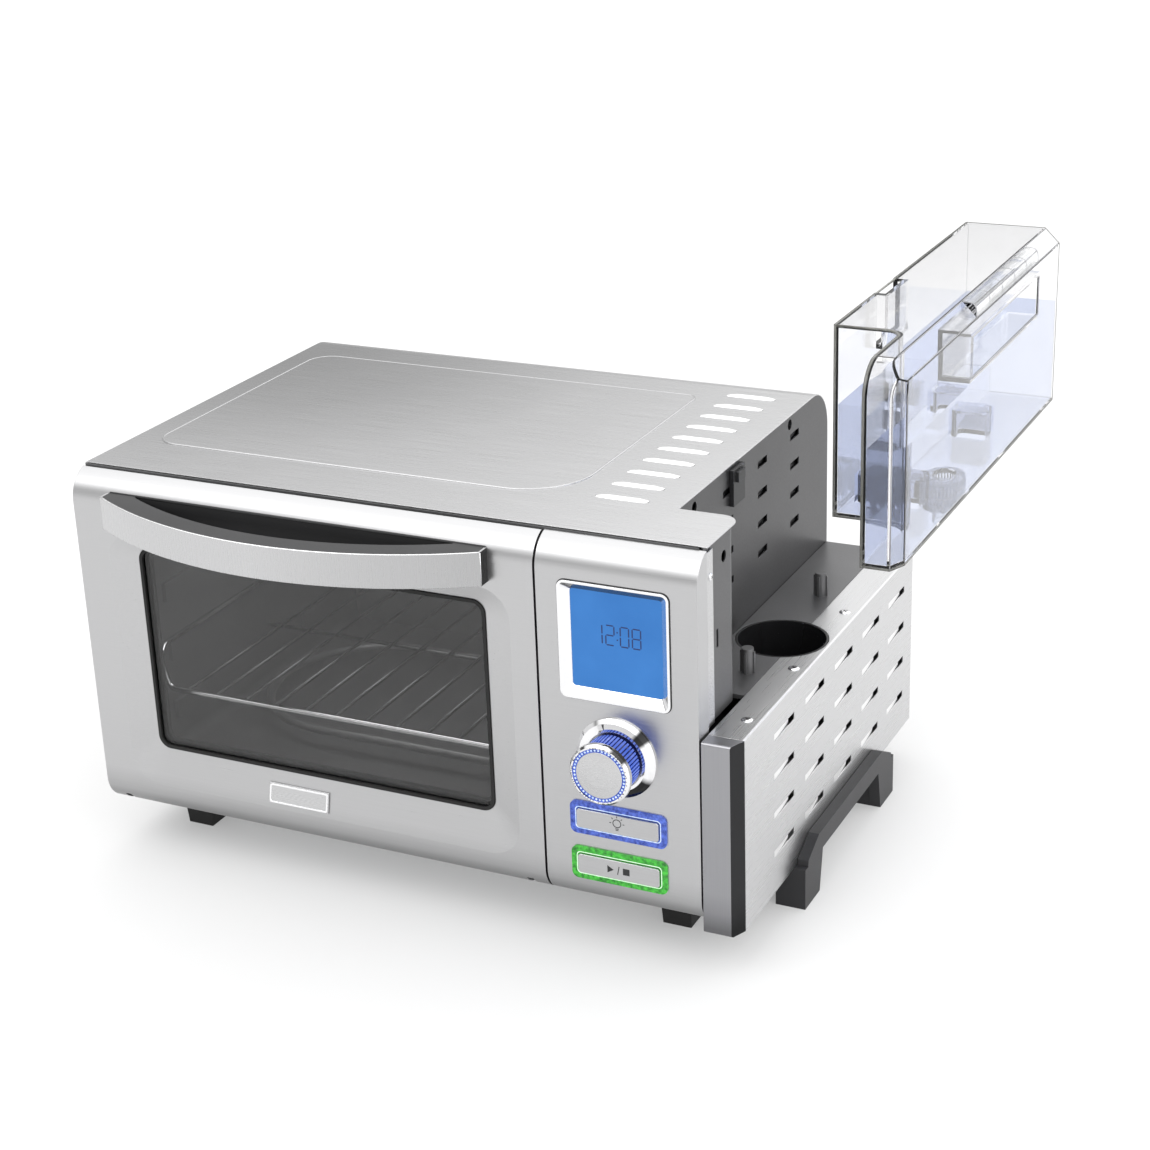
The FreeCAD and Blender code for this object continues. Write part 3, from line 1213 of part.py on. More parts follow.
def bent_tube(name, points, bend, radius):
    """A hose along straight runs with equal bends."""
    corners = [Vector(*[float(size) for size in point]) for point in points]
    edges = []
    start = corners[0]
    for before, corner, after in zip(corners, corners[1:], corners[2:]):
        arriving = (corner - before).normalize()
        leaving = (after - corner).normalize()
        turn = arriving.getAngle(leaving)
        reach = float(bend) * math.tan(turn / 2)
        enter, leave = corner - arriving * reach, corner + leaving * reach
        inward = (leaving - arriving).normalize()
        middle = corner + inward * (float(bend) / math.cos(turn / 2) - float(bend))
        edges += [Part.LineSegment(start, enter).toShape(), Part.Arc(enter, middle, leave).toShape()]
        start = leave
    edges.append(Part.LineSegment(start, corners[-1]).toShape())
    direction = (corners[1] - corners[0]).normalize()
    section = Part.Wire([Part.Circle(corners[0], direction, float(radius)).toShape()])
    tube = doc.addObject("Part::Feature", name)
    tube.Shape = Part.Wire(edges).makePipeShell([section], True, False)
    return tube


def steam_works():
    """The boiler on the chamber's wall, the pump on the pan, and the hoses from the cup to the boiler."""
    wall = CAVITY_SHEET_RIGHT
    boiler = joined("steam_boiler", [block("Boiler", (wall, wall + 30), (232.0, 284.0), (94.0, 130.0)),
                                     rod("Nozzle", 4.0, (wall - 8, 250.0, 112.0), 9.0, OUT_RIGHT)])
    keep(boiler, "steam_boiler")
    pump = joined("water_pump", [block("PumpBlock", (356.0, 392.0), (232.0, 292.0), (PAN_TOP, PAN_TOP + 34)),
                                 rod("PumpCoil", 15.0, (374.0, 240.0, PAN_TOP + 40), 40.0, Rotation(Vector(1, 0, 0), -90))])
    keep(pump, "water_pump")
    floor = S.tray_top - S.cup_depth - 9
    spout_x = S.cup_x - 8
    low = PAN_TOP + 17
    feed = bent_tube("feed_hose", [(spout_x, S.cup_y, floor), (spout_x, S.cup_y, low),
                                   (spout_x, 262.0, low), (392.0, 262.0, low)], 14.0, S.hose_radius)
    high = PAN_TOP + 55
    supply = bent_tube("boiler_hose", [(374.0, 258.0, high), (374.0, 258.0, 112.0), (wall + 30, 258.0, 112.0)],
                       9.0, S.hose_radius)
    keep(grouped("water_hoses", [feed, supply]), "water_hoses")


def casing_screws():
    """The casing's screws: in the base's top strip, in the trim strip and along the back panel."""
    screws = []
    for y in SCREW_PLACES:
        shank = rod("Shank", SCREW_SHANK, (SCREW_X, y, S.tray_top - 6), 6.5)
        head = rod("Head", 3.4, (SCREW_X, y, S.tray_top), 0.6)
        screws.append(joined("TopScrew", [shank, head]))
    side = SIDE_SHEET + 1.5
    for z in (262.0,):
        head = rod("Head", 2.6, (side, 25.0, z), 1.2, OUT_RIGHT)
        screws.append(head)
    for x in (12.0, 200.0, 400.0):
        for z in (40.0, 240.0):
            screws.append(rod("RearHead", 3.4, (x, S.body_depth, z), 1.2, Rotation(Vector(1, 0, 0), -90)))
    keep(grouped("casing_screws", screws), "casing_screws")


# ---------------------------------------------------------------- water tank

def tank_form(name, inset):
    """The tank's outer form, or with an inset the hollow inside its walls."""
    body = new_body(name)
    low, high = S.tank_floor + inset, S.body_top - inset
    left, right = S.tank_left + inset, S.base_right - inset
    front, back = S.tank_front + inset, S.tank_back - inset
    main, arm = S.tank_main + inset, S.tank_arm + inset
    slant = S.base_right - S.chamfer_width - inset
    pad(body, "XY", (low, high),
        polygon((left, main), (arm, main), (arm, front), (slant, front),
                (right, S.tank_front + S.chamfer_depth + inset * 0.6), (right, back), (left, back)))
    # The inner corner between the wide part and the arm is a concave scoop.
    soften(body, S.tank_scoop - inset if inset else S.tank_scoop, [(arm, main, None)], "z")
    soften(body, S.tank_bevel - inset * 0.4, [(right, None, high)], "y", "Chamfer")
    soften(body, S.tank_round - inset, [(None, front, high)], "x")
    pocket(body, "XZ", (S.grip_front - inset, S.grip_back + inset),
           rectangle((S.base_right - S.grip_pocket - inset, right + 1), (S.grip_low - inset, S.grip_high + inset)))
    # The rim steps back where the bay's catch hooks over it.
    pocket(body, "XZ", (148.0 - inset, 184.0 + inset),
           rectangle((left - 1, S.bay_wall + 9 + inset), (252.0 - inset, high + 1)))
    # Recesses in the floor pass the bay's posts as the tank comes down on its slant.
    reach = S.post_height * S.lift_side / S.lift_up
    for y in (S.post_front, S.post_back):
        pocket(body, "XY", (low - 1, S.tray_top + S.post_height + 2 + inset),
               pane((S.post_x - reach - S.post_radius - 2 - inset, S.post_x + S.post_radius + 2 + inset),
                    (y - S.post_radius - 2 - inset, y + S.post_radius + 2 + inset), S.post_radius))
    return body


def tank():
    lifted = (LEFT + S.lift_side, FRONT, S.lift_up)
    outside = tank_form("TankOutside", 0.0)
    inside = tank_form("TankInside", S.tank_wall)
    floor = S.tank_floor
    neck = rod("Neck", S.neck_radius, (S.cap_x, S.cup_y, floor - 8), 9.0)
    mouth = rod("Mouth", S.neck_radius - 2.5, (S.cap_x, S.cup_y, floor - 9), 9 + S.tank_wall + 1)
    hull = joined("TankHull", [outside, neck])
    keep(cut("tank_body", hull, [inside, mouth]), "tank_body", *lifted)

    thread = S.neck_radius + S.gap
    stub, skirt, high = S.cap_stub, S.cap_radius, S.cap_height
    step = high - S.cap_skirt
    stem = S.valve_stem + S.running
    cap = [(stem, step), (stem, step - 2), (stub - 1.8, step - 2), (stub - 1.8, 0.0), (stub, 0.0), (stub, step - 2),
           (skirt, step - 2), (skirt, high - S.gap), (thread, high - S.gap), (thread, step)]
    body = turned("tank_cap", cap, S.cap_x, S.cup_y, floor - high, Rotation())
    place(body, LEFT + S.lift_side + S.cap_x, FRONT + S.cup_y, floor - high + S.lift_up)

    seal_low = floor - high + step
    seal = turned("cap_seal", [(stem + 2, 0.0), (S.neck_radius - 0.2, 0.0), (S.neck_radius - 0.2, 1.8), (stem + 2, 1.8)],
                  S.cap_x, S.cup_y, seal_low, Rotation())
    place(seal, LEFT + S.lift_side + S.cap_x, FRONT + S.cup_y, seal_low + S.lift_up)

    # The valve's stem passes the cap's floor; its disc closes on the seal from above.
    disc_low = seal_low + 1.8 + S.gap
    stem_low = floor - high + 3.5 + 0.5
    stem_rod = rod("Stem", S.valve_stem, (0.0, 0.0, stem_low), disc_low - stem_low + 1)
    disc = rod("Disc", S.neck_radius - 4, (0.0, 0.0, disc_low), 1.6)
    valve = joined("tank_valve", [stem_rod, disc])
    keep(valve, "tank_valve", LEFT + S.lift_side + S.cap_x, FRONT + S.cup_y, S.lift_up)


# ---------------------------------------------------------------- build and write

for make in (outer_cover, bay_wall, bay_side_sheet, bay_trim_strip, rear_panel, bottom_pan, front_frame, base_cover,
             base_front, side_bracket, rubber_feet, cord_gland, bay_tray, tank_catch,
             valve_cup, door_skin, control_panel, door_inner, handle, handle_screws, door_badge, hinges, chamber,
             heating_elements, fan, lamp, rack, display, boards, dial, keys, steam_works, casing_screws, tank):
    make()
doc.recompute()

faults = [f"{item.Label}: {item.State}" for item in doc.Objects if {"Invalid", "Error"} & set(item.State)]
for name, piece in subparts.items():
    if piece.Shape.isNull() or not piece.Shape.isValid() or not piece.Shape.Solids:
        faults.append(f"{name}: no valid solid")
if faults:
    raise SystemExit("\n".join(faults))
for name, piece in subparts.items():
    piece.Shape.exportStep(os.path.join("parts", name + ".step"))
whole = Part.makeCompound([piece.Shape for piece in subparts.values()]).BoundBox
print(f"{len(subparts)} sub-parts, {whole}")
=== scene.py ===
import json
import math

import bmesh
import bpy
from mathutils import Matrix, Vector


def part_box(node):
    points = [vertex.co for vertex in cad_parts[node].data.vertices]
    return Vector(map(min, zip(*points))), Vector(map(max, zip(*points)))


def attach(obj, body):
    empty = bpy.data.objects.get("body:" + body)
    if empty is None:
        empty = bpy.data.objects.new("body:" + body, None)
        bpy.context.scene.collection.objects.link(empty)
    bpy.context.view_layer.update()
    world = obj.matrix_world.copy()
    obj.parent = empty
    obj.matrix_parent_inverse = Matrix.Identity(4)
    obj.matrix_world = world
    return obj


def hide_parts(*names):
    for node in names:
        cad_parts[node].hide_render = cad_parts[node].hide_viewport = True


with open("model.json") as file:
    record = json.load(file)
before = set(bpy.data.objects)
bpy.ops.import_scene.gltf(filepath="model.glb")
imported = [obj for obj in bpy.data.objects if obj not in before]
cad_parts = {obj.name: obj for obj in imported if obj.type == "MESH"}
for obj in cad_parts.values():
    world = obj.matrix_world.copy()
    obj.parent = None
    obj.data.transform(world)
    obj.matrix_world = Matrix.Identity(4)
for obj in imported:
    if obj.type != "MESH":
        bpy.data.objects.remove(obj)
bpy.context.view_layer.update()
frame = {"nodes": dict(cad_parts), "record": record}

# A counter-top steam oven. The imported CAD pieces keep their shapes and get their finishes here; the
# rack, the louvres, the screws, the water and the printed and lit details are built on top of them.

MM = 0.001
CORNER = Vector((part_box("outer_cover")[0].x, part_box("door_skin")[0].y, 0.0))
NODES = frame["nodes"]

# Places shared by several pieces, in millimetres in the frame that at() takes.
TOP = 284.0
BACK = 346.0
BASE_SIDE = 480.0
DIAL_X, DIAL_Z = 399.5, 142.4
KEY_SIDES, KEY_HEIGHT = (366.0, 432.5), 23.0
HANDLE_TOP, HANDLE_LOW = 270.7, 249.0
TANK_LEFT, TANK_RIGHT, TANK_FRONT, TANK_BACK, TANK_FLOOR = 415.0, 480.0, 2.0, 342.0, 164.0
TANK_ARM, TANK_MAIN = 457.0, 74.0
LIFT = Vector((98.0, 0.0, 127.0))


def at(x, y, z):
    """A point given in millimetres from the casing's left side, front face and the counter."""
    return CORNER + Vector((x, y, z)) * MM


# ---------------------------------------------------------------- materials

M = {}
SHADER = "Principled BSDF"
EVEN = (1.0, 1.0, 1.0)
STREAK_STRETCH = 0.012
STREAK_SCALE, CLOUD_SCALE, CLOUD_SHARE = 1500.0, 9.0, 0.25
MARK_SCALE, WEAR_SCALE = 220.0, 18.0
CHROME = (0.88, 0.88, 0.89)


def new_material(name):
    made = bpy.data.materials.new(name)
    made.use_nodes = True
    M[name] = made
    return made.node_tree, made.node_tree.nodes[SHADER]


def add(tree, kind, **sockets):
    node = tree.nodes.new(kind)
    for name, value in sockets.items():
        node.inputs[name.replace("_", " ")].default_value = value
    return node


def ramp(tree, source, *stops):
    node = tree.nodes.new("ShaderNodeValToRGB")
    band = node.color_ramp
    while len(band.elements) < len(stops):
        band.elements.new(0.5)
    for element, (place, colour) in zip(band.elements, stops):
        element.position = place
        element.color = (*colour, 1.0)
    tree.links.new(source, node.inputs["Fac"])
    return node.outputs["Color"]


def grey(tree, source, *stops):
    return ramp(tree, source, *[(place, (tone,) * 3) for place, tone in stops])


def between(tree, source, start, end, low=0.0, high=1.0):
    """Carries the range from start to end over to the range from low to high."""
    node = add(tree, "ShaderNodeMapRange", From_Min=start, From_Max=end, To_Min=low, To_Max=high)
    tree.links.new(source, node.inputs["Value"])
    return node.outputs["Result"]


def spread(tree, source, low, high):
    return between(tree, source, 0.0, 1.0, low, high)


def noise(tree, scale, stretch=EVEN, detail=3.0):
    """Noise in the object's own metres, stretched along each axis."""
    where = tree.nodes.new("ShaderNodeTexCoord")
    fit = add(tree, "ShaderNodeMapping", Scale=stretch)
    cloud = add(tree, "ShaderNodeTexNoise", Scale=scale, Detail=detail)
    tree.links.new(where.outputs["Object"], fit.inputs["Vector"])
    tree.links.new(fit.outputs["Vector"], cloud.inputs["Vector"])
    return cloud.outputs["Fac"]


def bump(tree, shader, height, strength, distance, edge=0.0):
    node = add(tree, "ShaderNodeBump", Strength=strength, Distance=distance)
    tree.links.new(height, node.inputs["Height"])
    if edge:
        soft = add(tree, "ShaderNodeBevel", Radius=edge)
        soft.samples = 4
        tree.links.new(soft.outputs["Normal"], node.inputs["Normal"])
    tree.links.new(node.outputs["Normal"], shader.inputs["Normal"])


def tint(tree, factor):
    """Multiplies the base colour by a grey factor."""
    base = tree.nodes[SHADER].inputs["Base Color"]
    source = base.links[0].from_socket
    mix = tree.nodes.new("ShaderNodeMix")
    mix.data_type = "RGBA"
    mix.blend_type = "MULTIPLY"
    mix.inputs["Factor"].default_value = 1.0
    colours = [socket for socket in mix.inputs if socket.type == "RGBA"]
    tree.links.new(source, colours[0])
    tree.links.new(factor, colours[1])
    result = [socket for socket in mix.outputs if socket.type == "RGBA"][0]
    tree.links.new(result, base)


def vector_math(tree, operation, source, other=None):
    node = tree.nodes.new("ShaderNodeVectorMath")
    node.operation = operation
    tree.links.new(source, node.inputs[0])
    if other is not None:
        node.inputs[1].default_value = other
    return node.outputs


def coordinates(tree, kind):
    return tree.nodes.new("ShaderNodeTexCoord").outputs[kind]


def split(tree, source):
    node = tree.nodes.new("ShaderNodeSeparateXYZ")
    tree.links.new(source, node.inputs["Vector"])
    return node.outputs


def facing(tree, direction):
    """How far the surface, at rest, faces a direction."""
    normal = coordinates(tree, "Normal")
    return vector_math(tree, "DOT_PRODUCT", normal, Vector(direction).normalized())["Value"]


def around(tree):
    """The direction of the surface around a dial's axis as a share of a turn, from straight left by way of below."""
    sides = split(tree, coordinates(tree, "Normal"))
    turn = tree.nodes.new("ShaderNodeMath")
    turn.operation = "ARCTAN2"
    tree.links.new(sides["Z"], turn.inputs[0])
    tree.links.new(sides["X"], turn.inputs[1])
    return between(tree, turn.outputs["Value"], -math.pi, math.pi)


def shade(tone, share):
    return tuple(min(1.0, channel * share) for channel in tone)


def brushed(name, tone, grain, rough=0.3, contrast=0.1, edge=0.0005, depth=0.05):
    """Brushed metal with fine streaks along one axis and a slow cloudy variation."""
    tree, shader = new_material(name)
    stretch = [1.0, 1.0, 1.0]
    stretch["xyz".index(grain)] = STREAK_STRETCH
    streaks = noise(tree, STREAK_SCALE, stretch, 2.0)
    clouds = noise(tree, CLOUD_SCALE, EVEN, 2.0)
    mix = tree.nodes.new("ShaderNodeMath")
    mix.operation = "MULTIPLY_ADD"
    tree.links.new(clouds, mix.inputs[0])
    mix.inputs[1].default_value = CLOUD_SHARE
    tree.links.new(streaks, mix.inputs[2])
    colour = ramp(tree, mix.outputs["Value"], (0.3, shade(tone, 1.0 - contrast)),
                  (0.95, shade(tone, 1.0 + contrast)))
    tree.links.new(colour, shader.inputs["Base Color"])
    tree.links.new(spread(tree, streaks, rough - 0.06, rough + 0.08), shader.inputs["Roughness"])
    shader.inputs["Metallic"].default_value = 1.0
    bump(tree, shader, streaks, depth, 0.00004, edge)


def polished(name, tone, rough=0.06):
    """Chrome and bright wire with faint handling marks."""
    tree, shader = new_material(name)
    marks = noise(tree, MARK_SCALE, EVEN, 4.0)
    tree.links.new(ramp(tree, marks, (0.2, shade(tone, 0.94)), (0.8, tone)), shader.inputs["Base Color"])
    tree.links.new(spread(tree, marks, rough * 0.6, rough * 1.6), shader.inputs["Roughness"])
    shader.inputs["Metallic"].default_value = 1.0
    bump(tree, shader, marks, 0.02, 0.00002, 0.0004)


def coated(name, tone, rough=0.45, grit=900.0, depth=0.25, metallic=0.0, edge=0.0004, coat=0.0, gloss=0.5):
    """Paint, moulded plastic and rubber with a fine surface texture and slight wear in tone."""
    tree, shader = new_material(name)
    grain = noise(tree, grit, EVEN, 3.0)
    wear = noise(tree, WEAR_SCALE, EVEN, 4.0)
    colour = ramp(tree, wear, (0.25, shade(tone, 0.86)), (0.8, shade(tone, 1.12)))
    tree.links.new(colour, shader.inputs["Base Color"])
    tree.links.new(spread(tree, grain, rough - 0.07, rough + 0.07), shader.inputs["Roughness"])
    shader.inputs["Metallic"].default_value = metallic
    shader.inputs["Coat Weight"].default_value = coat
    shader.inputs["Specular IOR Level"].default_value = gloss
    bump(tree, shader, grain, depth, 0.00008, edge)


def lit(name, dark, bright, strength, mottle=420.0, gloss=0.5):
    """Translucent plastic lit from behind, slightly mottled."""
    tree, shader = new_material(name)
    cloud = noise(tree, mottle, EVEN, 4.0)
    unlit = ramp(tree, cloud, (0.3, shade(dark, 0.2)), (0.7, shade(bright, 0.2)))
    tree.links.new(unlit, shader.inputs["Base Color"])
    tree.links.new(ramp(tree, cloud, (0.3, dark), (0.7, bright)), shader.inputs["Emission Color"])
    shader.inputs["Specular IOR Level"].default_value = gloss
    shader.inputs["Emission Strength"].default_value = strength
    tree.links.new(spread(tree, cloud, 0.12, 0.3), shader.inputs["Roughness"])


def clear(name, tone, rough, ior, marks):
    """Glass and clear plastic with barely visible flow marks."""
    tree, shader = new_material(name)
    flow = noise(tree, marks, EVEN, 2.0)
    tree.links.new(ramp(tree, flow, (0.2, shade(tone, 0.97)), (0.8, tone)), shader.inputs["Base Color"])
    tree.links.new(spread(tree, flow, rough * 0.5, rough * 1.5), shader.inputs["Roughness"])
    shader.inputs["Transmission Weight"].default_value = 1.0
    shader.inputs["IOR"].default_value = ior
    bump(tree, shader, flow, 0.05, 0.0002)


def plain_finishes():
    brushed("steel", (0.50, 0.50, 0.505), "x", 0.27, 0.045)
    brushed("cover_steel", (0.62, 0.62, 0.625), "x", 0.27, 0.045)
    brushed("front_skin", (0.50, 0.50, 0.505), "x", 0.3, 0.03)
    brushed("side_steel", (0.60, 0.60, 0.605), "y", 0.28, 0.03)
    brushed("front_steel", (0.33, 0.33, 0.345), "z", 0.3, 0.04)
    brushed("key_steel", (0.50, 0.50, 0.505), "x", 0.34, 0.05, 0.0003)
    brushed("satin_metal", (0.56, 0.56, 0.565), "x", 0.27, 0.02, 0.0006, 0.012)
    brushed("strip_steel", (0.54, 0.54, 0.545), "z", 0.27, 0.02, 0.0006, 0.012)
    brushed("galvanised", (0.42, 0.43, 0.44), "x", 0.42, 0.14)
    # A brighter copy of the steel for the top's louvre blades: painted highlight.
    brushed("lit_louvre_steel", (0.93, 0.93, 0.93), "x", 0.3, 0.03)
    # A brighter copy of the steel for the base's pressed tongues: painted highlight.
    brushed("lit_tongue_steel", (0.92, 0.92, 0.92), "y", 0.3, 0.03)
    brushed("bead", (0.46, 0.46, 0.465), "x", 0.3, 0.03)

    # A brighter polished metal for the handle strip's edges: painted highlight.
    polished("edge_highlight_metal", (0.97, 0.97, 0.97), 0.2)
    # A dark copy of the wire for the rack's bars: painted shade.
    polished("wire_shaded", (0.13, 0.13, 0.132), 0.35)
    polished("chrome", CHROME)
    polished("frame_chrome", CHROME)
    polished("wire", (0.82, 0.82, 0.83), 0.12)

    coated("liner", (0.22, 0.22, 0.222), 0.42, 260.0, 0.02, 0.6)
    coated("inner_steel", (0.10, 0.10, 0.102), 0.4, 240.0, 0.02, 0.6)
    # A near-black sheet for the parts inside the casing: painted shade, seen through the slots and vents.
    coated("inside_shade", (0.02, 0.02, 0.021), 0.5, 300.0, 0.05, 0.2)
    coated("dark_sheet", (0.085, 0.085, 0.088), 0.36, 700.0, 0.08, 0.5)
    # Darker and lighter copies of the dark sheet for the bay's wall and tray: painted shade on the wall, painted
    # light on the tray.
    coated("shaded_wall_sheet", (0.055, 0.055, 0.057), 0.36, 700.0, 0.08, 0.5)
    coated("lit_tray_sheet", (0.13, 0.13, 0.133), 0.36, 700.0, 0.08, 0.5)
    coated("dark_plastic", (0.024, 0.024, 0.026), 0.42, 1100.0, 0.12, gloss=0.28)
    coated("grip_plastic", (0.040, 0.040, 0.041), 0.5, 1100.0, 0.12, gloss=0.2)
    coated("black_plastic", (0.012, 0.012, 0.013), 0.24, 1000.0, 0.08, gloss=0.4)
    coated("recess", (0.012, 0.012, 0.0125), 0.55, 900.0, 0.1, gloss=0.15)
    coated("rubber", (0.012, 0.012, 0.012), 0.62, 1500.0, 0.3, gloss=0.3)
    coated("white_plastic", (0.62, 0.61, 0.57), 0.4, 900.0, 0.1)
    coated("silicone", (0.07, 0.07, 0.072), 0.5, 600.0, 0.1)
    coated("hose", (0.55, 0.55, 0.52), 0.35, 300.0, 0.05)
    coated("board", (0.014, 0.10, 0.04), 0.35, 400.0, 0.1)
    coated("ink", (0.012, 0.012, 0.013), 0.5, 900.0, 0.1, edge=0.0)
    coated("digit", (0.005, 0.02, 0.10), 0.5, 500.0, 0.05, edge=0.0)
    coated("plastic_edge", (0.20, 0.20, 0.18), 0.25, 300.0, 0.05, edge=0.0, coat=0.3)
    coated("plastic_line", (0.42, 0.42, 0.44), 0.25, 300.0, 0.05, edge=0.0, coat=0.3)

    clear("smoked_glass", (0.56, 0.56, 0.56), 0.01, 1.45, 6.0)
    clear("clear_plastic", (0.985, 0.985, 0.99), 0.015, 1.3, 40.0)
    clear("clear_bar", (0.965, 0.97, 0.975), 0.02, 1.14, 40.0)
    clear("clear_cap", (0.90, 0.91, 0.91), 0.1, 1.4, 90.0)
    clear("water", (0.66, 0.71, 0.86), 0.0, 1.03, 12.0)

    lit("display_glass", (0.036, 0.175, 0.50), (0.046, 0.205, 0.56), 0.9, 30.0, 0.2)
    lit("blue_glow", (0.01, 0.03, 0.26), (0.11, 0.20, 0.80), 0.75)
    lit("blue_bright", (0.35, 0.55, 1.0), (0.85, 0.93, 1.0), 0.9)
    lit("green_glow", (0.008, 0.16, 0.012), (0.07, 0.62, 0.05), 0.8)
    lit("green_bright", (0.55, 1.0, 0.55), (0.85, 1.0, 0.85), 0.9)


def below_light(name, low, high, floor_tone):
    """Darkens a front towards its rolled bottom edge, which turns away from the light."""
    tree = M[name].node_tree
    level = between(tree, split(tree, coordinates(tree, "Object"))["Z"], low, high)
    tint(tree, grey(tree, level, (0.0, floor_tone), (0.45, 0.8), (1.0, 1.0)))


def corner_shade(name, corner, reach, *stops):
    """Lets a sheet grow slowly lighter away from one corner, as under a light that stands close by."""
    tree = M[name].node_tree
    away = vector_math(tree, "DISTANCE", coordinates(tree, "Object"), corner)["Value"]
    tint(tree, grey(tree, between(tree, away, 0.0, reach), *stops))


def side_shade(name, direction, *stops):
    """Darkens the faces of a piece that look one way: a painted dark reflection."""
    tree = M[name].node_tree
    tint(tree, grey(tree, facing(tree, direction), *stops))


def ringed_chrome(name, *stops):
    """Chrome with a dark band or two painted around its axis: a painted reflection of a studio's dark parts, as a
    turned rim mirrors them.
    """
    polished(name, CHROME)
    tree = M[name].node_tree
    tint(tree, grey(tree, around(tree), *stops))


def barrel_finish():
    """The dial's lit blue barrel, with painted shade in its grooves and a painted highlight on its ribs, by the
    distance from the dial's axis.
    """
    tree, shader = new_material("barrel")
    groove, rib = 0.0172, 0.0182
    axis = vector_math(tree, "SUBTRACT", coordinates(tree, "Object"), at(DIAL_X, 0.0, DIAL_Z))["Vector"]
    flat = vector_math(tree, "MULTIPLY", axis, (1.0, 0.0, 1.0))["Vector"]
    rise = between(tree, vector_math(tree, "LENGTH", flat)["Value"], groove, rib)
    colour = ramp(tree, rise, (0.0, (0.003, 0.009, 0.12)), (0.7, (0.01, 0.035, 0.36)),
                  (0.97, (0.09, 0.20, 0.85)))
    unlit = ramp(tree, rise, (0.0, (0.001, 0.002, 0.03)), (1.0, (0.01, 0.02, 0.12)))
    tree.links.new(colour, shader.inputs["Emission Color"])
    tree.links.new(unlit, shader.inputs["Base Color"])
    shader.inputs["Emission Strength"].default_value = 0.62
    shader.inputs["Specular IOR Level"].default_value = 0.35
    tree.links.new(spread(tree, noise(tree, 400.0), 0.15, 0.3), shader.inputs["Roughness"])


def special_finishes():
    corner_shade("cover_steel", at(0.0, 300.0, TOP), 0.5, (0.06, 0.48), (0.28, 0.62), (0.4, 0.74),
                 (0.52, 0.85), (0.7, 0.93), (1.0, 1.0))
    below_light("front_skin", 0.034, 0.064, 0.25)
    below_light("front_steel", 0.034, 0.060, 0.45)
    # Painted dark reflections: on the slanted corner face of the base's front, on the handle strip as it turns to
    # the right and on its end face, and on the downward faces of the display frame.
    side_shade("front_steel", (12.0, -5.0, 0.0), (0.0, 1.0), (0.955, 1.0), (0.975, 0.13), (1.0, 0.10))
    side_shade("strip_steel", (1.0, 0.0, 0.0), (0.0, 1.0), (0.45, 0.8), (0.8, 0.65), (0.9, 0.06),
               (1.0, 0.05))
    side_shade("frame_chrome", (0.0, 0.0, -1.0), (0.0, 1.0), (0.35, 1.0), (0.5, 0.16), (1.0, 0.30))
    # Painted dark reflections in bands around the axis of the dial's ring and bezel.
    ringed_chrome("ring_chrome", (0.0, 1.0), (0.27, 1.0), (0.30, 0.04), (0.41, 0.03), (0.44, 1.0),
                  (0.585, 1.0), (0.60, 0.05), (0.64, 0.03), (0.655, 1.0), (1.0, 1.0))
    ringed_chrome("bezel_chrome", (0.0, 1.0), (0.20, 1.0), (0.23, 0.12), (0.33, 0.06), (0.36, 1.0),
                  (0.57, 1.0), (0.60, 0.05), (0.67, 0.08), (0.70, 1.0), (1.0, 1.0))
    barrel_finish()


plain_finishes()
special_finishes()

# Nodes whose finish isn't simply the one their CAD slot names.
FINISH = {
    "outer_cover": "cover_steel", "bay_wall": "shaded_wall_sheet", "bay_tray": "lit_tray_sheet",
    "base_front": "front_steel", "light_key": "key_steel", "start_key": "key_steel",
    "tank_cap": "clear_cap", "door_skin": "front_skin", "handle_strip": "strip_steel",
    "control_panel": "front_skin", "display_frame": "frame_chrome", "dial_ring": "ring_chrome",
    "dial_bezel": "bezel_chrome", "dial_barrel": "barrel", "handle_grip": "grip_plastic",
    "door_inner_panel": "inner_steel", "front_frame": "inner_steel",
    "window_gasket": "rubber", "door_seal": "rubber",
    # The parts inside the casing take the near-black sheet: painted shade.
    "fan_can": "inside_shade", "fan_motor": "inside_shade", "lamp_holder": "inside_shade",
    "steam_boiler": "inside_shade", "water_pump": "inside_shade",
}
slot_of = {part["node"]: part["material_slot"] for part in frame["record"]["subparts"]}
for node, thing in NODES.items():
    thing.data.materials.clear()
    thing.data.materials.append(M[FINISH.get(node, slot_of[node])])


# ---------------------------------------------------------------- building

def finish_piece(thing, body, finish, replaces=()):
    thing.data.materials.clear()
    thing.data.materials.append(M[finish])
    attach(thing, body)
    if replaces:
        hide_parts(*replaces)
    return thing


def piece(name, verts, faces, body, finish, slot, smooth=False, replaces=(), bevel=0.0):
    mesh = bpy.data.meshes.new(name)
    mesh.from_pydata([tuple(v) for v in verts], [], faces)
    form = bmesh.new()
    form.from_mesh(mesh)
    bmesh.ops.remove_doubles(form, verts=form.verts, dist=1e-7)
    bmesh.ops.recalc_face_normals(form, faces=form.faces)
    form.to_mesh(mesh)
    form.free()
    thing = bpy.data.objects.new(name, mesh)
    bpy.context.scene.collection.objects.link(thing)
    if smooth:
        mesh.shade_smooth()
    if bevel:
        rounding = thing.modifiers.new("Bevel", "BEVEL")
        rounding.width = bevel * MM
        rounding.segments = 2
        rounding.limit_method = "ANGLE"
    return finish_piece(thing, body, finish, replaces)


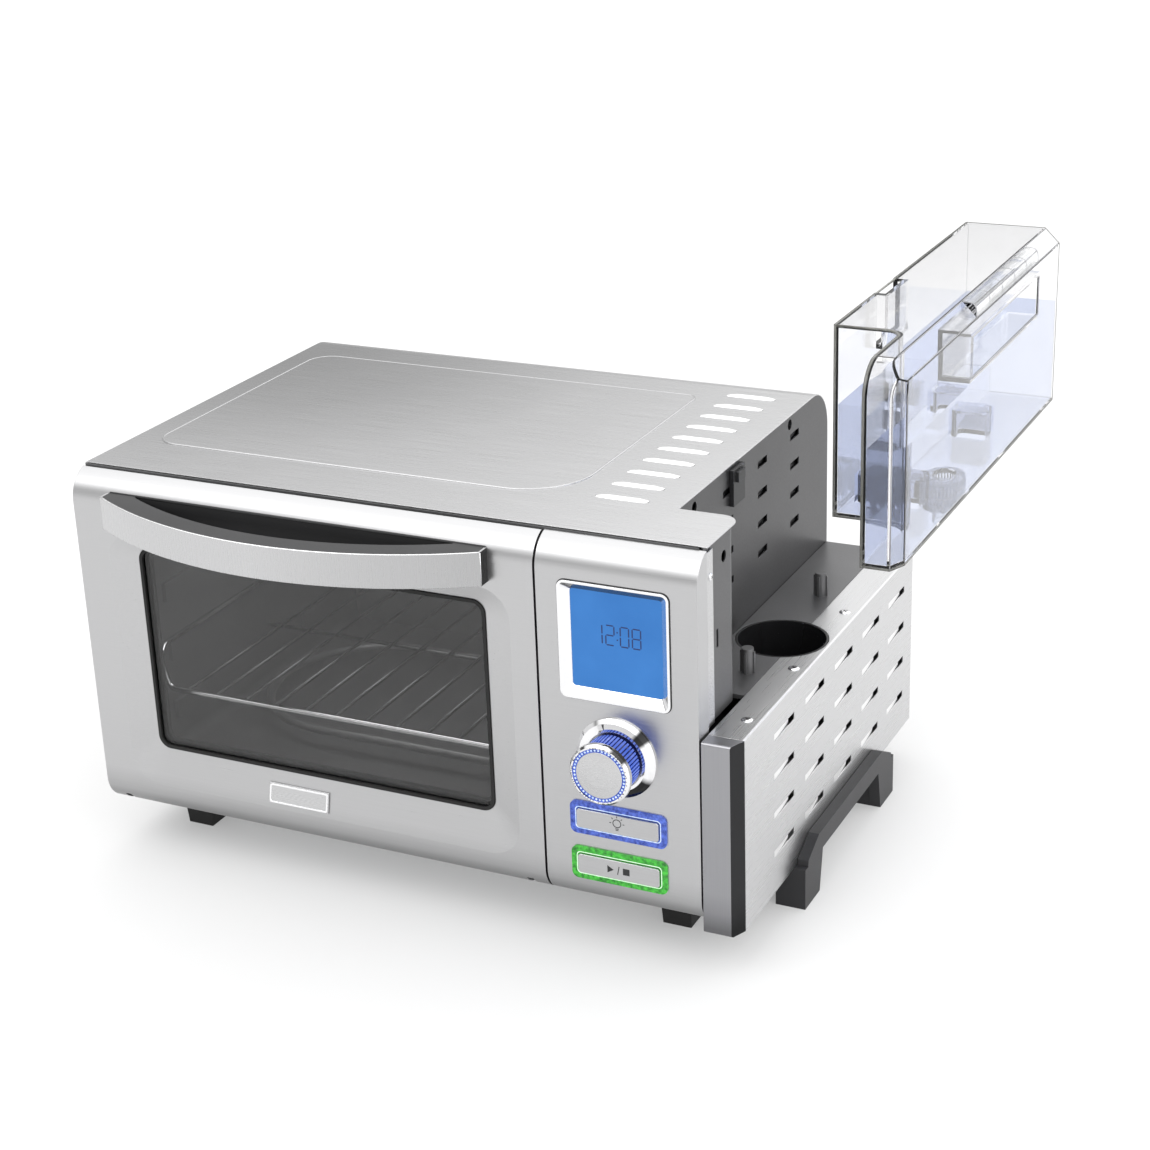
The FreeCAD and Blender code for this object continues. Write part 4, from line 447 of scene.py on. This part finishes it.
class Shape:
    """Collects solids, given in millimetres from the corner, into one mesh."""

    def __init__(self):
        self.verts = []
        self.faces = []

    def put(self, verts, faces):
        start = len(self.verts)
        self.verts += verts
        self.faces += [tuple(start + index for index in face) for face in faces]

    def prism(self, outline, low, high, frame_of):
        """A closed outline carried from low to high; frame_of turns (u, v, w) into a point."""
        count = len(outline)
        verts = [frame_of(u, v, w) for w in (low, high) for u, v in outline]
        sides = [(i, (i + 1) % count, count + (i + 1) % count, count + i) for i in range(count)]
        self.put(verts, sides + [tuple(range(count))[::-1], tuple(range(count, 2 * count))])

    def band(self, outer, inner, low, high, frame_of):
        """A ring between two outlines with the same number of points."""
        count = len(outer)
        verts = [frame_of(u, v, w) for w in (low, high) for line in (outer, inner) for u, v in line]
        faces = []
        for i in range(count):
            j = (i + 1) % count
            faces.append((i, j, 2 * count + j, 2 * count + i))
            faces.append((count + j, count + i, 3 * count + i, 3 * count + j))
            faces.append((i, count + i, count + j, j))
            faces.append((2 * count + i, 2 * count + j, 3 * count + j, 3 * count + i))
        self.put(verts, faces)

    def tube(self, path, radius, sides=10, closed=False):
        """A round tube along a path of corner-frame points in millimetres."""
        points = [Vector(p) for p in path]
        count = len(points)
        verts = []
        side = None
        for i, point in enumerate(points):
            before = points[i - 1] if i or closed else point
            after = points[(i + 1) % count] if i < count - 1 or closed else point
            along = (after - before).normalized()
            if side is None:
                side = along.orthogonal().normalized()
            side = (side - along * side.dot(along)).normalized()
            other = along.cross(side)
            for k in range(sides):
                turn = 2 * math.pi * k / sides
                verts.append(at(*(point + (side * math.cos(turn) + other * math.sin(turn)) * radius)))
        faces = []
        rings = count if closed else count - 1
        for i in range(rings):
            j = (i + 1) % count
            for k in range(sides):
                m = (k + 1) % sides
                faces.append((i * sides + k, i * sides + m, j * sides + m, j * sides + k))
        if not closed:
            faces.append(tuple(range(sides))[::-1])
            faces.append(tuple((count - 1) * sides + k for k in range(sides)))
        self.put(verts, faces)

    def build(self, name, body, finish, slot, **more):
        return piece(name, self.verts, self.faces, body, finish, slot, **more)


def facing_front(u, v, w):
    return at(u, w, v)


def bar(middle, along, across, near, far, half):
    """The outline of a straight bar that points away from middle."""
    return [tuple(middle + along * reach + across * side)
            for reach, side in ((near, half), (far, half), (far, -half), (near, -half))]


def box_outline(left, right, low, high):
    return [(left, low), (right, low), (right, high), (left, high)]


def direction(degrees):
    """Unit vectors along a direction in a plane, and square to it."""
    turn = math.radians(degrees)
    return Vector((math.cos(turn), math.sin(turn))), Vector((-math.sin(turn), math.cos(turn)))


def skin_faces(rows, count):
    """The faces between rows of count points, and the caps on the first and last row."""
    faces = [(i * count + k, i * count + (k + 1) % count, (i + 1) * count + (k + 1) % count,
              (i + 1) * count + k) for i in range(rows - 1) for k in range(count)]
    return faces + [tuple(range(count))[::-1], tuple((rows - 1) * count + k for k in range(count))]


def rounded(u, v, radius, steps=6):
    """A rectangle's outline with rounded corners."""
    points = []
    for (cu, cv), start in (((u[1] - radius, v[1] - radius), 0), ((u[0] + radius, v[1] - radius), 90),
                            ((u[0] + radius, v[0] + radius), 180), ((u[1] - radius, v[0] + radius), 270)):
        for step in range(steps + 1):
            turn = math.radians(start + 90 * step / steps)
            points.append((cu + radius * math.cos(turn), cv + radius * math.sin(turn)))
    return points


def softened(path, radius, steps=6):
    """A run of points with its inner corners rounded."""
    points = [Vector(p) for p in path]
    line = [points[0]]
    for before, corner, after in zip(points, points[1:], points[2:]):
        first = (before - corner).normalized()
        second = (after - corner).normalized()
        reach = min(radius / math.tan(first.angle(second) / 2), (before - corner).length * 0.49,
                    (after - corner).length * 0.49)
        start, end = corner + first * reach, corner + second * reach
        for step in range(steps + 1):
            t = step / steps
            line.append(start * (1 - t) ** 2 + corner * 2 * t * (1 - t) + end * t * t)
    line.append(points[-1])
    return line


def arc(centre, radius, start, end, steps):
    return [(centre[0] + radius * math.cos(math.radians(start + (end - start) * i / steps)),
             centre[1] + radius * math.sin(math.radians(start + (end - start) * i / steps)))
            for i in range(steps + 1)]


# ---------------------------------------------------------------- louvres

def top_louvres():
    """Curved blades pressed up in the top's slots, in a brighter copy of the steel that paints a highlight on them.
    """
    blades = Shape()
    for index in range(10):
        middle = 76.0 + 24.6 * index
        left, right = 354.4, 390.6
        profile = [(-2.15, -0.75), (-1.2, 0.15), (0.2, 0.75), (1.6, 1.05), (2.15, 1.0), (2.15, 0.5),
                   (0.2, 0.15), (-2.15, -1.25)]
        steps = 10
        rows = []
        for step in range(steps + 1):
            t = step / steps
            rise = min(1.0, 4.5 * min(t, 1 - t) + 0.12)
            rows.append([(left + (right - left) * t, middle + u, TOP + v * rise) for u, v in profile])
        verts = [at(*point) for line in rows for point in line]
        blades.put(verts, skin_faces(len(rows), len(profile)))
    blades.build("top_louvre_blades", "oven", "lit_louvre_steel", "steel")


def base_louvres():
    """Tongues pressed in from the base's cover, in a brighter copy of the steel that paints a highlight on them;
    each leaves an opening at its rear end.
    """
    tongues = Shape()
    steps, length, depth, thick = 6, 28.5, 1.3, 0.6
    for column in range(5):
        for level in range(4):
            front, low = 62.2 + 56.8 * column, 56.25 + 27.8 * level
            outer = [(front + length * i / steps, BASE_SIDE - 0.15 - depth * (i / steps) ** 1.3)
                     for i in range(steps + 1)]
            inner = [(y, x - thick) for y, x in outer]
            tongues.prism(outer + inner[::-1], low, low + 4.5, lambda u, v, w: at(v, u, w))
    tongues.build("base_louvre_tongues", "oven", "lit_tongue_steel", "side_steel")


def top_field_line():
    """The rolled bead around the raised field of the top."""
    left, right, front, back = 20.0, 336.0, 68.0, 288.0
    line = []
    for (cx, cy), radius, start in (((right, back), 9.0, 0), ((left, back), 18.0, 90),
                                    ((left, front), 18.0, 180), ((right, front), 44.0, 270)):
        inward_x = -radius if cx == right else radius
        inward_y = -radius if cy == back else radius
        line += arc((cx + inward_x, cy + inward_y), radius, start, start + 90, 14)
    bead = Shape()
    bead.tube([(x, y, TOP - 0.05) for x, y in line], 0.9, 10, True)
    bead.build("top_field_bead", "oven", "bead", "steel", smooth=True)


def wall_slot_shade_sheet():
    """A dark sheet behind the slots of the bay's wall, with four pressed grooves along it: painted shade for the
    casing's inside, seen through the slots.
    """
    shade_sheet = Shape()
    low, high, inner, outer, groove = 168.0, 270.0, 409.6, 410.4, 409.9
    profile = [(low, inner), (low, outer)]
    for level in (186.0, 206.0, 226.0, 246.0):
        profile += [(level - 3, outer), (level - 2, groove), (level + 2, groove), (level + 3, outer)]
    profile += [(high, outer), (high, inner)]
    shade_sheet.prism(profile, 96.0, 332.0, lambda u, v, w: at(v, w, u))
    shade_sheet.build("wall_slot_shade_sheet", "oven", "inside_shade", "dark_sheet")


top_louvres()
base_louvres()
top_field_line()
wall_slot_shade_sheet()


# ---------------------------------------------------------------- rack

def rack():
    """The rack's bent frame, whose hooks run above the guides, and its bars, in a dark copy of the wire that paints
    shade on them.
    """
    wires = Shape()
    left, right, rail, grid = 33.2, 316.8, 145.5, 117.5
    front, back = 30.0, 285.0
    frame_line = [(left, back - 20, rail), (left, front + 10, rail), (left + 2.5, front, rail - 6),
                  (left + 9, front, grid), (right - 9, front, grid), (right - 2.5, front, rail - 6),
                  (right, front + 10, rail), (right, back - 20, rail), (right - 8, back - 2, rail),
                  (right - 9, back, grid), (left + 9, back, grid), (left + 8, back - 2, rail),
                  (left, back - 20, rail)]
    wires.tube(softened(frame_line, 7.0), 2.0, 12)
    wires.build("rack_frame", "rack", "wire", "wire", smooth=True, replaces=("wire_rack",))
    wires = Shape()
    bars, first, last = 11, 56.2, 293.8
    for index in range(bars):
        x = first + (last - first) * index / (bars - 1)
        wires.tube([(x, front, grid + 0.4), (x, back, grid + 0.4)], 1.3, 8)
    wires.tube([(left + 9, 157.0, grid - 2.4), (right - 9, 157.0, grid - 2.4)], 1.6, 8)
    wires.build("rack_bars", "rack", "wire_shaded", "wire", smooth=True, replaces=("wire_rack",))


rack()


# ---------------------------------------------------------------- dial, display and keys

def display_digits():
    """A clock time in slim seven-part figures."""
    parts = {"0": "abcdef", "1": "bc", "2": "abged", "8": "abcdefg"}
    high, wide, thick, gap = 13.0, 5.6, 0.85, 0.25
    behind, front = 3.93, 3.99
    figures = Shape()

    def stroke(u0, v0, u1, v1):
        along = Vector((u1 - u0, v1 - v0))
        along.normalize()
        across = Vector((-along.y, along.x)) * thick / 2
        tip = along * thick / 2
        a, b = Vector((u0, v0)), Vector((u1, v1))
        outline = [a, a + tip + across, b - tip + across, b, b - tip - across, a + tip - across]
        figures.prism([tuple(p) for p in outline], behind, front, facing_front)

    def figure(char, u, v):
        half = high / 2
        ends = {"a": (0, high, wide, high), "b": (wide, high, wide, half), "c": (wide, half, wide, 0),
                "d": (0, 0, wide, 0), "e": (0, half, 0, 0), "f": (0, high, 0, half), "g": (0, half, wide, half)}
        for part in parts[char]:
            u0, v0, u1, v1 = ends[part]
            du, dv = (gap, 0) if u0 != u1 else (0, -gap)
            stroke(u + u0 + du, v + v0 + dv, u + u1 - du, v + v1 - dv)

    base = 216.5
    for char, u in (("1", 384.5), ("2", 392.6), ("0", 402.4), ("8", 410.4)):
        figure(char, u, base)
    for lift in (3.6, 8.6):
        figures.prism(box_outline(399.9, 400.8, base + lift, base + lift + 0.9), behind, front, facing_front)
    figures.build("display_digits", "oven", "digit", "display_glass")


def dial_details():
    """The lit dots in the dial's front ring, and the index mark on the fixed ring."""
    beads = bmesh.new()
    count, circle, depth = 44, 16.8, -26.1
    for index in range(count):
        turn = 2 * math.pi * index / count
        where = at(DIAL_X + circle * math.cos(turn), depth, DIAL_Z + circle * math.sin(turn))
        bmesh.ops.create_icosphere(beads, subdivisions=2, radius=0.78 * MM, matrix=Matrix.Translation(where))
    mesh = bpy.data.meshes.new("dial_beads")
    beads.to_mesh(mesh)
    beads.free()
    mesh.shade_smooth()
    thing = bpy.data.objects.new("dial_beads", mesh)
    bpy.context.scene.collection.objects.link(thing)
    finish_piece(thing, "dial", "blue_bright")
    tick = Shape()
    outline = bar(Vector((DIAL_X, DIAL_Z)), *direction(108), 20.9, 24.4, 0.28)
    tick.prism(outline, -4.58, -3.6, facing_front)
    tick.build("dial_index", "oven", "ink", "chrome")


def key_details(low, body, bright, slot, kind):
    """A key's lit inner line and its icon: a lamp, or start and stop."""
    u, v = KEY_SIDES, (low, low + KEY_HEIGHT)

    def inset(by, radius):
        return rounded((u[0] + by, u[1] - by), (v[0] + by, v[1] - by), radius)

    line = Shape()
    line.band(inset(3.6, 2.8), inset(4.25, 2.3), -1.36, -1.15, facing_front)
    line.build(kind + "_inner_line", "oven", bright, slot, bevel=0.1)
    icon = Shape()
    cu, cv = (u[0] + u[1]) / 2, low + KEY_HEIGHT / 2
    face = -2.66

    def mark(outline):
        icon.prism(outline, face, face + 0.06, facing_front)

    if kind == "light":
        bulb = (cu, cv + 1.2)
        icon.band(arc(bulb, 3.0, 0, 350, 28), arc(bulb, 2.45, 0, 350, 28), face, face + 0.06, facing_front)
        for step in range(2):
            level, half = cv - 2.8 - 0.95 * step, 1.2 - 0.25 * step
            mark(box_outline(cu - half, cu + half, level, level + 0.5))
        for turn in (0, 45, 90, 135, 180):
            mark(bar(Vector(bulb), *direction(turn), 3.9, 5.2, 0.25))
    else:
        mark([(cu - 7.6, cv - 2.6), (cu - 3.2, cv), (cu - 7.6, cv + 2.6)])
        mark([(cu - 0.9, cv - 3.0), (cu - 0.3, cv - 3.0), (cu + 0.9, cv + 3.0), (cu + 0.3, cv + 3.0)])
        mark(box_outline(cu + 3.2, cu + 7.8, cv - 2.3, cv + 2.3))
    icon.build(kind + "_icon", body, "ink", "steel")


def display_outline():
    """The dark joint around the display's frame."""
    joint = Shape()
    outer = rounded((361.9, 437.6), (178.4, 258.1), 5.6)
    inner = rounded((362.45, 437.05), (178.95, 257.55), 5.05)
    joint.band(outer, inner, -0.3, -0.03, facing_front)
    joint.build("display_outline", "oven", "ink", "chrome")


display_digits()
display_outline()
dial_details()
key_details(84.5, "light_key_body", "blue_bright", "blue_glow", "light")
key_details(52.0, "start_key_body", "green_bright", "green_glow", "start")


# ---------------------------------------------------------------- handle

def handle_details():
    """The dark recess behind the bow, and the strip's polished edges, brighter than the strip for a painted
    highlight.
    """
    roll, roll_start = 21.0, 261.7

    def skin(z):
        over = max(0.0, z - roll_start)
        return roll - math.sqrt(roll ** 2 - over ** 2)

    steps = 12
    levels = [247.5 + 23.3 * i / steps for i in range(steps + 1)]
    profile = [(skin(z) - 0.05, z) for z in levels] + [(skin(z) - 0.8, z) for z in levels[::-1]]
    recess = Shape()
    recess.prism(profile, 40.0, 304.5, lambda u, v, w: at(w, u, v))
    recess.build("grip_recess", "door", "recess", "dark_plastic")
    rim, thick = Shape(), 0.9
    depth = skin(HANDLE_TOP) - thick
    rim.tube([(31.0, depth, HANDLE_TOP), (313.5, depth, HANDLE_TOP)], thick, 10)
    rim.build("grip_rim", "door", "grip_plastic", "dark_plastic", smooth=True)

    middle, reach, half, sweep = 172.25, 48.0, 142.75, 39.0
    bow = (half ** 2 + sweep ** 2) / (2 * sweep)
    span = math.degrees(math.asin(half / bow))
    edge, line, steps = Shape(), bow - 0.55, 48
    turns = [math.radians(-span + 2 * span * i / steps) for i in range(steps + 1)]
    path = [(middle + line * math.sin(turn), bow - reach - line * math.cos(turn)) for turn in turns]
    edge.tube([(x, y, HANDLE_TOP) for x, y in path], 0.5, 8)
    for x, y in (path[0], path[-1]):
        edge.tube([(x, y, HANDLE_LOW), (x, y, HANDLE_TOP)], 0.5, 8)
    edge.build("strip_edges", "door", "edge_highlight_metal", "satin_metal", smooth=True)


handle_details()


# ---------------------------------------------------------------- badge

def badge_border():
    """A raised border on the blank badge, which leans with the door's dish."""
    slope = math.atan2(6.0, 27.0)
    start = Vector(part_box("door_badge")[0])
    rise = Vector((0.0, math.sin(slope), math.cos(slope)))
    out = Vector((0.0, -math.cos(slope), math.sin(slope)))
    border = Shape()

    def on_badge(u, v, w):
        return start + Vector((u * MM, 0, 0)) + rise * v * MM + out * w * MM

    outer = rounded((0.6, 46.4), (0.6, 13.9), 1.6)
    inner = rounded((1.8, 45.2), (1.8, 12.7), 1.0)
    border.band(outer, inner, -0.2, 0.35, on_badge)
    border.build("badge_border", "door", "chrome", "satin_metal", bevel=0.12)


badge_border()


# ---------------------------------------------------------------- screws

def screw_heads():
    """Domed heads with crossed slots, in place of the CAD's plain screws; the slots are near-black marks, painted
    shade in place of recesses.
    """
    heads, slots = Shape(), Shape()

    def screw(centre, axis, radius, height):
        axis = Vector(axis)
        side = axis.orthogonal().normalized()
        other = axis.cross(side)
        rings, sides = 5, 20
        verts = []
        for ring in range(rings):
            t = ring / (rings - 1)
            r = radius * math.cos(t * math.pi / 2 * 0.72)
            h = height * math.sin(t * math.pi / 2)
            for k in range(sides):
                turn = 2 * math.pi * k / sides
                rim = side * r * math.cos(turn) + other * r * math.sin(turn)
                verts.append(at(*(Vector(centre) + rim + axis * h)))
        heads.put(verts, skin_faces(rings, sides))
        for first, second in ((side, other), (other, side)):
            corners = [first * a * radius * 0.5 + second * b * radius * 0.11 + axis * (height * h)
                       for h in (0.7, 1.02) for a, b in ((-1, -1), (1, -1), (1, 1), (-1, 1))]
            slots.put([at(*(Vector(centre) + corner)) for corner in corners],
                      [(0, 1, 2, 3), (4, 5, 6, 7), (0, 1, 5, 4), (1, 2, 6, 5), (2, 3, 7, 6), (3, 0, 4, 7)])

    for y in (40.0, 122.4, 222.3, 318.0):
        screw((470.5, y, 163.0), (0, 0, 1), 4.0, 0.85)
    screw((453.5, 25.0, 262.0), (1, 0, 0), 2.6, 1.1)
    for x in (12.0, 200.0, 400.0):
        for z in (40.0, 240.0):
            screw((x, BACK, z), (0, 1, 0), 3.4, 1.2)
    heads.build("screw_heads", "oven", "chrome", "chrome", smooth=True, replaces=("casing_screws",))
    slots.build("screw_slot_shade", "oven", "ink", "chrome")


screw_heads()


# ---------------------------------------------------------------- tank

def tank_outline(inset):
    """The tank's plan outline, drawn in by inset."""
    left, right = TANK_LEFT + inset, TANK_RIGHT - inset
    front, back = TANK_FRONT + inset, TANK_BACK - inset
    main, arm = TANK_MAIN + inset, TANK_ARM + inset
    scoop = arc((arm - 13 + inset, main - 13 + inset), 13 - inset, 90, 0, 8)
    return ([(left, back), (left, main)] + scoop +
            [(arm, front), (475 - inset, front), (right, 14 + inset * 0.6), (right, back)])


def tank_water():
    """The water, as high as the lower edge of the grip pocket, clear of the floor's recesses."""
    body_of_water = Shape()
    inset, surface = 2.55, 234.8

    def lifted(u, v, w):
        return at(u + LIFT.x, v, w + LIFT.z)

    body_of_water.prism(tank_outline(inset), TANK_FLOOR + inset, surface, lifted)
    water = body_of_water.build("water", "water_tank", "water", "clear_plastic")
    for y in (107.0, 245.5):
        low, high = lifted(421.5, y - 9.7, 160), lifted(454.2, y + 9.7, 184.7)
        cutter_mesh = bpy.data.meshes.new("Recess")
        form = bmesh.new()
        bmesh.ops.create_cube(form, size=1.0)
        form.to_mesh(cutter_mesh)
        form.free()
        cutter = bpy.data.objects.new("Recess", cutter_mesh)
        cutter.matrix_world = Matrix.LocRotScale((low + high) / 2, None, high - low)
        bpy.context.scene.collection.objects.link(cutter)
        carve = water.modifiers.new("Carve", "BOOLEAN")
        carve.object = cutter
        carve.solver = "EXACT"
        bpy.context.view_layer.update()
        graph = bpy.context.evaluated_depsgraph_get()
        carved = bpy.data.meshes.new_from_object(water.evaluated_get(graph))
        water.modifiers.clear()
        water.data = carved
        bpy.data.objects.remove(cutter)
    water.data.name = "water"


def tank_edges():
    """The clear moulding's edges: the near and far rims look dark, the others are fine lines."""
    bold, fine = Shape(), Shape()

    def run(lines, points, radius, closed=False):
        lines.tube([Vector(p) + LIFT for p in points], radius, 8, closed)

    e = 0.75
    left, right, arm = TANK_LEFT + e, TANK_RIGHT - e, TANK_ARM + e
    front, back, main = TANK_FRONT + e, TANK_BACK - e, TANK_MAIN + e
    floor, top, bevel_x, bevel_z = TANK_FLOOR + e, TOP - e, 470, 274
    plan = tank_outline(e)
    inner = [(u, v, top) for u, v in plan[:-3]]
    inner[-1] = (inner[-1][0], 23, top)
    nose = [(arm, 23 - 21 * math.sin(math.radians(a)) + e, 263 + 21 * math.cos(math.radians(a)) - e)
            for a in range(15, 91, 15)]
    run(bold, inner + nose + [(arm, front, floor)], 0.75)
    run(bold, [(left, back, top), (bevel_x, back, top), (right, back, bevel_z), (right, back, floor)], 0.65)
    run(bold, [(u, v, floor) for u, v in plan], 0.7, True)
    run(bold, [(left, main, top), (left, main, floor)], 0.7)
    run(fine, [(bevel_x, back, top), (bevel_x, 24, top)], 0.35)
    outer_nose = [(right, 14 + 12 - 12 * math.sin(math.radians(a)) * 0.98, 262 + 12 * math.cos(math.radians(a)))
                  for a in range(0, 91, 15)]
    run(fine, [(right, back, bevel_z)] + outer_nose + [(right, 14.6, floor)], 0.35)
    run(fine, [(475 - e * 0.5, front, 262), (475 - e * 0.5, front, floor)], 0.35)
    run(fine, [(left, back, top), (left, back, floor)], 0.35)
    bold.build("tank_edges", "water_tank", "plastic_edge", "clear_plastic", smooth=True)
    fine.build("tank_lines", "water_tank", "plastic_line", "clear_plastic", smooth=True)


def tank_grip():
    """The rounded bar on the bevel above the grip pocket, with its cross ribs."""
    profile = [(470.5, 283.95), (475.4, 283.95), (478.0, 283.2), (479.5, 281.2), (479.95, 278.6),
               (479.95, 274.5)]
    grip = Shape()
    grip.prism(profile, 146.0, 287.0, lambda u, v, w: at(u + LIFT.x, w, v + LIFT.z))
    grip.build("grip_bar", "water_tank", "clear_bar", "clear_plastic")
    ribs = Shape()
    for index in range(6):
        y = 146.5 + 28.0 * index
        over = ((479.4, y, 274.6), (479.45, y, 278.5), (479.0, y, 281.0), (477.7, y, 282.7),
                (475.2, y, 283.45), (470.9, y, 283.45))
        ribs.tube([Vector(p) + LIFT for p in over], 0.4, 8)
    for x, z in ((479.4, 274.8), (470.9, 283.4), (478.6, 281.8)):
        ribs.tube([Vector((x, 146.5, z)) + LIFT, Vector((x, 286.5, z)) + LIFT], 0.35, 8)
    near, far, low, high, outer, inner = 140.4, 291.6, 238.4, 263.6, 479.6, 460.4
    for points in (((outer, near, low), (outer, near, high)), ((outer, near, low), (outer, far, low)),
                   ((outer, far, low), (outer, far, high)), ((inner, near, low), (outer, near, low))):
        ribs.tube([Vector(p) + LIFT for p in points], 0.4, 8)
    ribs.build("grip_ribs", "water_tank", "plastic_line", "clear_plastic", smooth=True)


def cap_ribs():
    """Grip ribs around the cap's skirt."""
    ribs = Shape()
    count, skirt = 36, 16.9
    for index in range(count):
        turn = 2 * math.pi * index / count
        x, y = 447 + skirt * math.cos(turn), 165.5 + skirt * math.sin(turn)
        ribs.tube([Vector(p) + LIFT for p in ((x, y, 151.0), (x, y, 163.0))], 0.7, 6)
    ribs.build("cap_ribs", "water_tank", "clear_cap", "clear_plastic", smooth=True)


tank_water()
tank_edges()
tank_grip()
cap_ribs()


# ---------------------------------------------------------------- studio

def studio():
    """A pale floor, a soft grey surround and four area lights."""
    scene = bpy.context.scene
    floor_mesh = bpy.data.meshes.new("floor")
    size = 14.0
    corners = [(-size, -size, 0), (size, -size, 0), (size, size, 0), (-size, size, 0)]
    floor_mesh.from_pydata(corners, [], [(0, 1, 2, 3)])
    floor = bpy.data.objects.new("floor", floor_mesh)
    scene.collection.objects.link(floor)
    tree, shader = new_material("floor")
    soft = noise(tree, 0.7, EVEN, 1.0)
    tree.links.new(grey(tree, soft, (0.3, 0.47), (0.7, 0.48)), shader.inputs["Base Color"])
    shader.inputs["Roughness"].default_value = 0.9
    shader.inputs["Emission Color"].default_value = (1.0, 1.0, 1.0, 1.0)
    shader.inputs["Emission Strength"].default_value = 0.28
    shader.inputs["Specular IOR Level"].default_value = 0.1
    floor_mesh.materials.append(M["floor"])

    world = bpy.data.worlds.new("studio")
    scene.world = world
    world.use_nodes = True
    tree = world.node_tree
    sides = split(tree, coordinates(tree, "Generated"))
    lean = tree.nodes.new("ShaderNodeMath")
    lean.operation = "MULTIPLY_ADD"
    tree.links.new(sides["X"], lean.inputs[0])
    lean.inputs[1].default_value = 0.35
    tree.links.new(sides["Z"], lean.inputs[2])
    tone = grey(tree, lean.outputs["Value"], (0.0, 0.42), (0.10, 0.17), (0.155, 0.30), (0.20, 0.50),
                (0.29, 0.64), (0.45, 0.92), (0.7, 1.0))
    tree.links.new(tone, tree.nodes["Background"].inputs["Color"])
    tree.nodes["Background"].inputs["Strength"].default_value = 1.95

    def softbox(name, where, aim, size, power):
        data = bpy.data.lights.new(name, "AREA")
        data.shape = "RECTANGLE"
        data.size, data.size_y = size
        data.energy = power
        lamp = bpy.data.objects.new(name, data)
        lamp.location = where
        lamp.rotation_euler = (Vector(aim) - Vector(where)).to_track_quat("-Z", "Y").to_euler()
        scene.collection.objects.link(lamp)

    softbox("key", (-0.9, -1.6, 2.2), (0.0, 0.0, 0.15), (1.8, 1.2), 12.0)
    softbox("fill", (2.0, -0.7, 1.3), (0.1, 0.0, 0.2), (1.0, 1.4), 4.0)
    softbox("back", (0.2, 2.2, 2.0), (0.0, 0.0, 0.2), (2.4, 1.0), 2.0)
    softbox("chamber_light", tuple(at(176, 120, 250)), tuple(at(176, 160, 60)), (0.2, 0.15), 0.35)


def camera():
    """The camera, at the photograph's viewing angle."""
    scene = bpy.context.scene
    azimuth, elevation, roll = math.radians(26.37), math.radians(22.04), math.radians(-2.14)
    focal_pixels, image_pixels, distance = 2276.94, 1150, 1.6089
    back = Vector((math.sin(azimuth) * math.cos(elevation), -math.cos(azimuth) * math.cos(elevation),
                   math.sin(elevation)))
    right = Vector((math.cos(azimuth), math.sin(azimuth), 0.0))
    up = back.cross(right)
    turned_right = right * math.cos(roll) + up * math.sin(roll)
    turned_up = up * math.cos(roll) - right * math.sin(roll)
    lens = bpy.data.cameras.new("camera")
    lens.sensor_width = 36.0
    lens.lens = focal_pixels / image_pixels * lens.sensor_width
    lens.clip_end = 50.0
    view = bpy.data.objects.new("camera", lens)
    rotation = Matrix((turned_right, turned_up, back)).transposed()
    place = at(280.97, 190.0, 175.56) + back * distance
    view.matrix_world = Matrix.Translation(place) @ rotation.to_4x4()
    scene.collection.objects.link(view)
    scene.camera = view
    scene.view_settings.view_transform = "Standard"


studio()
camera()
